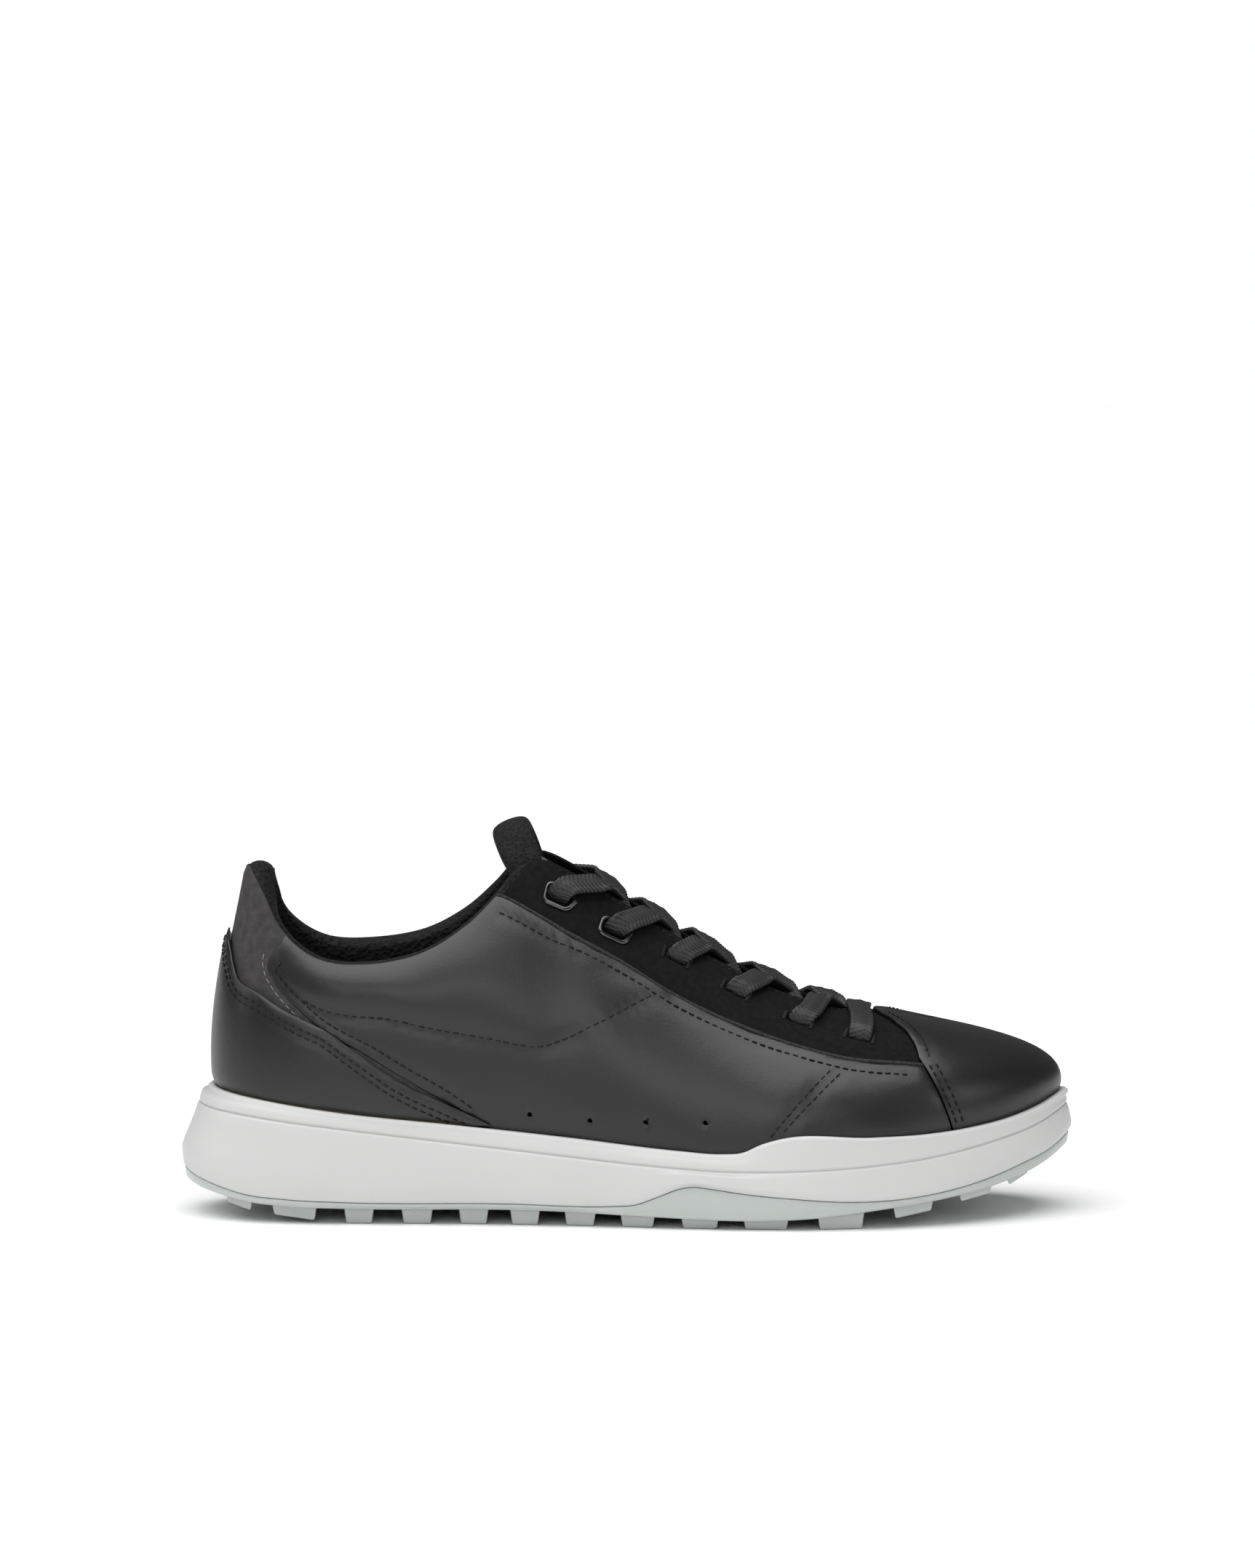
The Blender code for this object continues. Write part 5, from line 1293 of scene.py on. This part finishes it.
def build_inlay():
    """Removable inlay sole with a cupped heel. Rows: inset from the edge, lift, share of the cup."""
    profile = [(1.6, 0.1, 0.0), (0.3, 0.6, 0.0), (0.0, 1.6, 0.0), (0.0, 3.7, 1.0), (0.6, 4.3, 1.0),
               (1.8, 4.2, 1.0), (4.0, 4.2, 0.35), (6.5, 4.2, 0.0)]
    seat, cup = seat_height(RING_X), inlay_cup(RING_X)
    rings = [ring(-INLAY_INSET - inset, seat + lift + share * cup) for inset, lift, share in profile]
    inlay = ring_strip("inlay_cushion", rings, body="insole")
    dress(inlay, INLAY_CLOTH)
    return inlay


# Tongue ------------------------------------------------------------------------------------------

TONGUE_OUTER = -8.5
TONGUE_WING = 16.0
# Stations where the tongue's drawn face starts and ends, and how far its free top stands above that.
TONGUE_START = 16.2
TONGUE_END = 9.8
TONGUE_ROWS = 22
TONGUE_TOP = 13.0
TONGUE_TOP_STEPS = (0.25, 0.5, 0.75, 0.92, 1.0)
TONGUE_HEADING = np.array([-0.36, 0.0, 0.93])
# Offsets of the tongue's faces: full padding, extra swelling at the top, and the bound edge.
FACE_LEVEL = 0.1
CROWN_RISE = 4.6
BACK_LEVEL = -5.2
BACK_SWELL = -3.6
BOUND_EDGE = (-1.6, -1.9)
LABEL_RISE = 0.55
LABEL_THICKNESS = 0.6


def tongue_row(u):
    """Points across the tongue's outer face at lateral station u, lateral edge first."""
    sides = []
    for medial in (False, True):
        station = STATIONS - u if medial else u
        wing = []
        height = np.linalg.norm(last(station, 1.0) - last(station, 0.9)) / 0.1
        for share in (1.0, 0.66, 0.33, 0.0):
            wing.append(on_last(station, 1.0 - share * TONGUE_WING / height, TONGUE_OUTER))
        sides.append(wing)
    lateral, medial = sides
    start, end = lateral[-1], medial[-1]
    lift = np.linalg.norm(end - start) / 3
    start_way, end_way = ((wing[-1] - wing[-2]) / np.linalg.norm(wing[-1] - wing[-2]) for wing in sides)
    bridge = []
    for f in (0.2, 0.4, 0.6, 0.8):
        bridge.append((1 - f)**3 * start + 3 * (1 - f)**2 * f * (start + start_way * lift)
                      + 3 * (1 - f) * f**2 * (end + end_way * lift) + f**3 * end)
    return np.array(lateral + bridge + medial[::-1])


def build_tongue():
    """Padded tongue: one stuffed sheet with thin bound edges and a thick rolled top."""
    rows = [tongue_row(u) for u in np.linspace(TONGUE_START, TONGUE_END, TONGUE_ROWS)]
    across = np.linspace(-1, 1, len(rows[0]))
    rounding = (1 - 0.75 * across**4)[:, None]
    base = rows[-1]
    rows += [base + TONGUE_HEADING * TONGUE_TOP * share * rounding for share in TONGUE_TOP_STEPS]
    grid = np.array(rows)
    along = np.linspace(0, 1, len(grid))[:, None]
    edge = 1 - 0.85 * np.abs(across[None, :])**5
    top = np.clip((1 - along) / 0.06, 0, 1)**0.5
    full = edge * (0.35 + 0.65 * top)
    swell = smooth_step(along, 0.62, 0.84)
    crown = smooth_step(along, 0.78, 0.93)
    outer = (FACE_LEVEL + CROWN_RISE * crown) * full + BOUND_EDGE[0] * (1 - full)
    inner = (BACK_LEVEL + BACK_SWELL * swell) * full + BOUND_EDGE[1] * (1 - full)
    vertices, faces = grid_sheet(grid, outer.ravel(), inner.ravel())
    tongue = new_object("tongue_padded", vertices, faces, "tongue")
    subdivide(tongue)
    dress(tongue, TONGUE_MESH)
    label_rows, label_columns = slice(-8, -3), slice(4, 8)
    raised = (outer[label_rows, label_columns] + LABEL_RISE).ravel()
    label_points, label_faces = grid_sheet(grid[label_rows, label_columns], raised, raised - LABEL_THICKNESS)
    label = new_object("tongue_patch", label_points, label_faces, "tongue")
    subdivide(label)
    dress(label, LABEL_PATCH)
    return tongue, label


def grid_sheet(grid, outer, inner):
    """Closed sheet between two offsets of a point grid."""
    along = np.gradient(grid, axis=0)
    across = np.gradient(grid, axis=1)
    normals = np.cross(across, along)
    normals /= np.linalg.norm(normals, axis=-1, keepdims=True)
    if normals[..., 2].mean() < 0:
        normals = -normals
    rows, columns = grid.shape[:2]
    corners = [i * columns + j for i in range(rows - 1) for j in range(columns - 1)]
    flat = grid.reshape(-1, 3)
    ways = normals.reshape(-1, 3)
    count = len(flat)
    vertices = np.vstack([flat + ways * np.asarray(outer)[:, None], flat + ways * np.asarray(inner)[:, None]])
    faces = [(c, c + 1, c + columns + 1, c + columns) for c in corners]
    first = np.cross(vertices[1] - vertices[0], vertices[columns] - vertices[0])
    if first @ ways[0] < 0:
        faces = [face[::-1] for face in faces]
    faces += [tuple(i + count for i in reversed(face)) for face in faces]
    edges = {}
    for face in faces[:len(corners)]:
        for k in range(4):
            edges[face[k], face[(k + 1) % 4]] = True
    faces += [(b, a, a + count, b + count) for a, b in edges if (b, a) not in edges]
    return vertices, faces


# Eyelets and lace --------------------------------------------------------------------------------

def build_eyelet(name, row, medial):
    """Glossy metal eyelet: a rounded frame on the facing with a barrel through it."""
    top, under, foot = BACKING_OUTER + 1.0, BACKING_OUTER + 0.1, LINING_OUTER - LINING_THICKNESS - 0.3
    profile = [(0.0, foot), (0.0, top - 0.6), (0.2, top - 0.15), (0.6, top), (1.0, top - 0.05),
               (1.4, top - 0.4), (1.5, under), (0.5, under), (0.5, foot)]
    loops = []
    for out, height in profile:
        length, width = EYELET_BORE[0] + 2 * out, EYELET_BORE[1] + 2 * out
        loops.append((rounded_rectangle(length, width, 1.8 + 0.6 * out, 5), height))
    count = len(loops[0][0])
    vertices = [on_last(*near_eyelet(row, medial, a, b), height) for loop, height in loops for a, b in loop]
    faces = []
    for level in range(len(loops)):
        low, high = level * count, (level + 1) % len(loops) * count
        faces += [(low + k, low + (k + 1) % count, high + (k + 1) % count, high + k) for k in range(count)]
    thing = new_object(name, vertices, faces, "shoe")
    orient(thing)
    return dress(thing, GLOSS_METAL)


def orient(thing):
    """Point all of a closed mesh's faces outwards."""
    work = bmesh.new()
    work.from_mesh(thing.data)
    bmesh.ops.recalc_face_normals(work, faces=work.faces)
    work.to_mesh(thing.data)
    work.free()


BAR_TACK_LENGTH = 4.6
BAR_TACK_THREADS = 8
BAR_TACK_PLACE = 4.7
BAR_TACK_HALF_STITCH = 0.75
BAR_TACK_RADIUS = 0.32
BAR_TACK_RISE = 0.12


def build_bar_tacks():
    """Dense thread bars at both ends of each stitched eyelet slit."""
    points, faces = [], []
    for row in range(METAL_ROWS, len(EYELETS)):
        for medial in (False, True):
            for end in (-1, 1):
                for k in range(BAR_TACK_THREADS):
                    uphill = BAR_TACK_LENGTH * (k / (BAR_TACK_THREADS - 1) - 0.5)
                    ends = []
                    for reach in (-BAR_TACK_HALF_STITCH, BAR_TACK_HALF_STITCH):
                        u, t = near_eyelet(row, medial, end * BAR_TACK_PLACE + reach, uphill)
                        ends.append(on_last(u, t, BACKING_OUTER + BAR_TACK_RISE))
                    normal = last_frame(*near_eyelet(row, medial, end * BAR_TACK_PLACE, uphill))[2]
                    stitch, sides = capsule(ends[0], ends[1], normal, BAR_TACK_RADIUS)
                    faces += [tuple(i + len(points) for i in side) for side in sides]
                    points += stitch
    return dress(new_object("bar_tacks", points, faces, "shoe"), THREAD)


BRAID_PITCH = 1.5
BRAID_SIDES = 24
LACE_WIDTH = 7.8
LACE_THICKNESS = 2.0
TIP_WIDTH = 4.0
TIP_THICKNESS = 1.6
# Way of a lace end inside the shoe, and of its stiff tip: millimetres uphill from the top eyelet.
TAIL_WAY = ((-0.6, 0.9), (-4.0, -0.3), (-9.0, -0.3), (-15.0, -0.5))
TIP_WAY = (-15.6, -19.5, -23.5)
# Direction out of the throat, for lifting one lace over the other where they cross.
THROAT_OUT = np.array([0.35, 0.0, 0.93])
OVER_LIFT = 2.4
UNDER_LIFT = 0.3


def eased(line, spacing, softness=1.5):
    """The line with its corners rounded by a moving average; its ends stay in place."""
    reach = int(3 * softness / spacing)
    weights = np.exp(-0.5 * (np.arange(-reach, reach + 1) * spacing / softness)**2)
    weights /= weights.sum()
    padded = np.vstack([np.repeat(line[:1], reach, axis=0), line, np.repeat(line[-1:], reach, axis=0)])
    return np.stack([np.convolve(padded[:, k], weights, "valid") for k in range(3)], axis=1)


def braid(name, way, width, thickness, spacing=0.38, relief=0.34):
    """Flat braided lace with herringbone ribs through way points of (position, width direction)."""
    stops = np.array([point for point, _ in way])
    sides = np.array([direction for _, direction in way])
    travelled = np.concatenate([[0], np.cumsum(np.linalg.norm(np.diff(stops, axis=0), axis=1))])
    wanted = np.linspace(0, travelled[-1], int(travelled[-1] / spacing))
    centres = eased(np.stack([np.interp(wanted, travelled, stops[:, k]) for k in range(3)], axis=1), spacing)
    widths = eased(np.stack([np.interp(wanted, travelled, sides[:, k]) for k in range(3)], axis=1), spacing)
    tangents = np.gradient(centres, axis=0)
    tangents /= np.linalg.norm(tangents, axis=1, keepdims=True)
    widths -= tangents * np.sum(widths * tangents, axis=1, keepdims=True)
    widths /= np.linalg.norm(widths, axis=1, keepdims=True)
    normals = np.cross(tangents, widths)
    angles = 2 * np.pi * np.arange(BRAID_SIDES) / BRAID_SIDES
    flat = np.sign(np.cos(angles)) * np.abs(np.cos(angles))**0.75
    tall = np.sign(np.sin(angles)) * np.abs(np.sin(angles))**0.6
    phase = wanted[:, None] / BRAID_PITCH + 1.25 * np.abs(flat)[None, :] + 0.5 * (tall < 0)[None, :]
    rib_height = np.abs(np.sin(np.pi * phase))
    ribs = relief * (rib_height - 0.5)
    ridge = 0.16 * np.cos(2 * np.pi * flat)[None, :]
    a = (width / 2 + 0.6 * ribs) * flat[None, :]
    b = (thickness / 2 + ribs + ridge) * tall[None, :]
    points = centres[:, None] + widths[:, None] * a[..., None] + normals[:, None] * b[..., None]
    faces = tube_faces(len(centres), BRAID_SIDES)
    thing = new_object(name, points.reshape(-1, 3), faces, "shoe")
    # The rib heights also drive the lace's colour: painted shade in the gaps between ribs, painted highlight
    # on their tops.
    shade = thing.data.attributes.new("rib_height", "FLOAT", "POINT")
    shade.data.foreach_set("value", rib_height.ravel())
    orient(thing)
    return thing


def lace_points():
    """Way points of one lace: position and width direction, from end to end."""
    forward = half_lace(False)
    over_ridge = on_last(SPINE_START + 0.1, 1.0, BACKING_OUTER + 1.5)
    return forward[::-1] + [(over_ridge, forward[0][1])] + half_lace(True)


def half_lace(starts_medial):
    """Way points from the front bar through rows 6 to 1, crossing the throat after each row."""
    way = []
    medial = starts_medial
    for row in range(len(EYELETS) - 1, -1, -1):
        along = EYELET_FRAMES[row, medial][2]
        above = BACKING_OUTER + (3.0 if row < METAL_ROWS else 2.0)
        below = LINING_OUTER - LINING_THICKNESS - 1.5

        def spot(uphill, offset, forward=0.0):
            u, t = near_eyelet(row, medial, forward, uphill)
            return on_last(u, min(t, 1.0), offset), along

        if not way:
            way.append(spot(11.0, above))
        lean = {0: 0.15, len(EYELETS) - 1: 0.0}.get(row, 0.5)
        way += [spot(5.0, above, 5.0 * lean), spot(1.8, above, 1.8 * lean), spot(-0.2, (above + below) / 2)]
        if row == 0:
            way += [spot(uphill, below + lift) for uphill, lift in TAIL_WAY]
            break
        way += [spot(1.6, below - 0.1), spot(5.0, below - 0.1)]
        leaving = throat_edge(row, medial, -2.0, below - 0.15)
        arriving = throat_edge(row - 1, not medial, 1.5 if row == 1 else 4.6, BACKING_OUTER + 2.6)
        lift = OVER_LIFT if (row % 2 == 0) == starts_medial else UNDER_LIFT
        crossing = (leaving + arriving) / 2 + THROAT_OUT * lift
        way += [(leaving, along), (crossing, along), (arriving, along)]
        medial = not medial
    return way


def throat_edge(row, medial, forward, offset):
    """Point on the throat's edge uphill from an eyelet, some millimetres forward of it."""
    centre, steps, _ = EYELET_FRAMES[row, medial]
    uphill = (1.0 - centre[1] - steps[0][1] * forward) / steps[1][1]
    u = near_eyelet(row, medial, forward, uphill)[0]
    return on_last(u, 1.0, offset)


def tip_points(medial):
    """Way points of the stiff tip on a lace end, tucked down between tongue and lining."""
    along = EYELET_FRAMES[0, medial][2]
    level = LINING_OUTER - LINING_THICKNESS - 2.5
    return [(on_last(*near_eyelet(0, medial, 0.0, uphill), level), along) for uphill in TIP_WAY]


# Assembly ----------------------------------------------------------------------------------------

STANDS_FOR = {"vamp_leather": "vamp", "quarter_leather_lateral": "quarter_lateral",
              "quarter_leather_medial": "quarter_medial", "heel_cap_leather": "heel_cap",
              "heel_tab_nubuck": "heel_tab", "facing_nubuck": "eyelet_facing"}
LUG_EDGE = 0.7


def build_shoe():
    """Every drawn piece; the CAD nodes that each one stands for are hidden."""
    midsole = dress(build_midsole(), RIM_FOAM, WALL_FOAM)
    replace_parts(midsole, "midsole")
    sheet = dress(build_outsole(), TREAD)
    points, faces = [], []
    for place in lug_places():
        corners, sides = lug(*place)
        faces += [tuple(i + len(points) for i in side) for side in sides]
        points += corners
    lugs = soften(new_object("outsole_lugs", points, faces, "shoe"), LUG_EDGE, 3)
    orient(lugs)
    dress(lugs, TREAD)
    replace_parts(sheet, "outsole")
    build_upper()
    build_edges()
    build_stitches()
    for piece, node in STANDS_FOR.items():
        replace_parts(bpy.data.objects[piece], node)
    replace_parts(build_lining(), "lining", "collar_padding")
    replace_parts(build_inlay(), "inlay_sole")
    tongue, label = build_tongue()
    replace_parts(tongue, "tongue_face", "tongue_foam", "tongue_lining")
    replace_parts(label, "tongue_label")
    for row in range(METAL_ROWS):
        for medial, word in ((False, "lateral"), (True, "medial")):
            eyelet = build_eyelet(f"eyelet_frame_{word}_{row + 1}", row, medial)
            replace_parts(eyelet, f"eyelet_{word}_{row + 1}")
    build_bar_tacks()
    lace = dress(braid("lace_braided", lace_points(), LACE_WIDTH, LACE_THICKNESS), LACE_BRAID)
    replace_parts(lace, "shoelace")
    for medial, word in ((False, "lateral"), (True, "medial")):
        tip = braid(f"lace_end_{word}", tip_points(medial), TIP_WIDTH, TIP_THICKNESS, relief=0.0)
        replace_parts(dress(tip, LACE_END), f"lace_tip_{word}")
    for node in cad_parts.values():
        dress(node, STIFFENER)
    dress(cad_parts["shank"], SPRING_STEEL)


# Studio ------------------------------------------------------------------------------------------

# Camera: millimetres of the object plane that fill the frame's height, distance, pitch and aim.
FRAME_HEIGHT = 523.7
CAMERA_DISTANCE = 2600.0
CAMERA_PITCH = 4.99
AIM = (0.0, 0.0, 143.2)
SENSOR_HEIGHT = 36.0
FAR_CLIP = 50.0
FLOOR_SIZE = 14.0
SKY_ANGLE = 75
SKY_PLACE = (-0.25, -0.3, 1.5)
LAMP_AIM = (0, 0, 0.06)
ROOM_LIGHT = 0.14
OVERHEAD_LIGHT = 3.2
# Soft lamps: name, place and size in metres, power in watts.
LAMPS = [("front", (-0.3, -2.2, 0.8), (1.5, 0.6), 8.0), ("toe_side", (1.7, -0.9, 0.8), (0.7, 0.7), 3.5),
         ("heel_side", (-1.8, -0.3, 0.9), (0.5, 0.9), 3.0)]


def build_studio():
    """White floor in a white room, a broad soft light overhead and lamps in front and at both ends."""
    bpy.ops.mesh.primitive_plane_add(size=FLOOR_SIZE, location=(0, 0, 0))
    floor = bpy.context.object
    floor.name = "studio_floor"
    dress(floor, finish("studio_white", (0.96, 0.96, 0.96), 0.7, [("noise", 60.0, 0.01, 0.1)]))
    world = bpy.context.scene.world or bpy.data.worlds.new("studio")
    bpy.context.scene.world = world
    world.use_nodes = True
    nodes, links = world.node_tree.nodes, world.node_tree.links
    room = nodes["Background"]
    room.inputs["Color"].default_value = (1, 1, 1, 1)
    room.inputs["Strength"].default_value = ROOM_LIGHT
    backdrop = nodes.new("ShaderNodeBackground")
    backdrop.inputs["Color"].default_value = (1, 1, 1, 1)
    backdrop.inputs["Strength"].default_value = 1.0
    seen = nodes.new("ShaderNodeLightPath")
    mix = nodes.new("ShaderNodeMixShader")
    links.new(seen.outputs["Is Camera Ray"], mix.inputs["Fac"])
    links.new(room.outputs["Background"], mix.inputs[1])
    links.new(backdrop.outputs["Background"], mix.inputs[2])
    links.new(mix.outputs["Shader"], nodes["World Output"].inputs["Surface"])
    bpy.context.scene.view_settings.view_transform = "Standard"
    sky = bpy.data.lights.new("overhead", "SUN")
    sky.angle = math.radians(SKY_ANGLE)
    sky.energy = OVERHEAD_LIGHT
    place_lamp(sky, SKY_PLACE)
    for name, place, size, power in LAMPS:
        light = bpy.data.lights.new(name, "AREA")
        light.shape = "RECTANGLE"
        light.size, light.size_y = size
        light.energy = power
        place_lamp(light, place)


def place_lamp(light, place):
    """Put a light in the scene, pointed at the middle of the shoe."""
    lamp = bpy.data.objects.new(light.name, light)
    lamp.location = place
    lamp.rotation_euler = (Vector(LAMP_AIM) - Vector(place)).to_track_quat("-Z", "Y").to_euler()
    bpy.context.scene.collection.objects.link(lamp)


def build_camera():
    """Long lens, level with the shoe and tipped a little down."""
    data = bpy.data.cameras.new("camera")
    data.sensor_fit = "VERTICAL"
    data.sensor_height = SENSOR_HEIGHT
    data.lens = SENSOR_HEIGHT * CAMERA_DISTANCE / FRAME_HEIGHT
    data.clip_end = FAR_CLIP
    camera = bpy.data.objects.new("camera", data)
    pitch = math.radians(CAMERA_PITCH)
    aim = Vector(AIM) * MM
    camera.location = aim + Vector((0, -math.cos(pitch), math.sin(pitch))) * CAMERA_DISTANCE * MM
    camera.rotation_euler = (math.pi / 2 - pitch, 0, 0)
    bpy.context.scene.collection.objects.link(camera)
    bpy.context.scene.camera = camera


build_shoe()
build_studio()
build_camera()

bpy.context.view_layer.update()
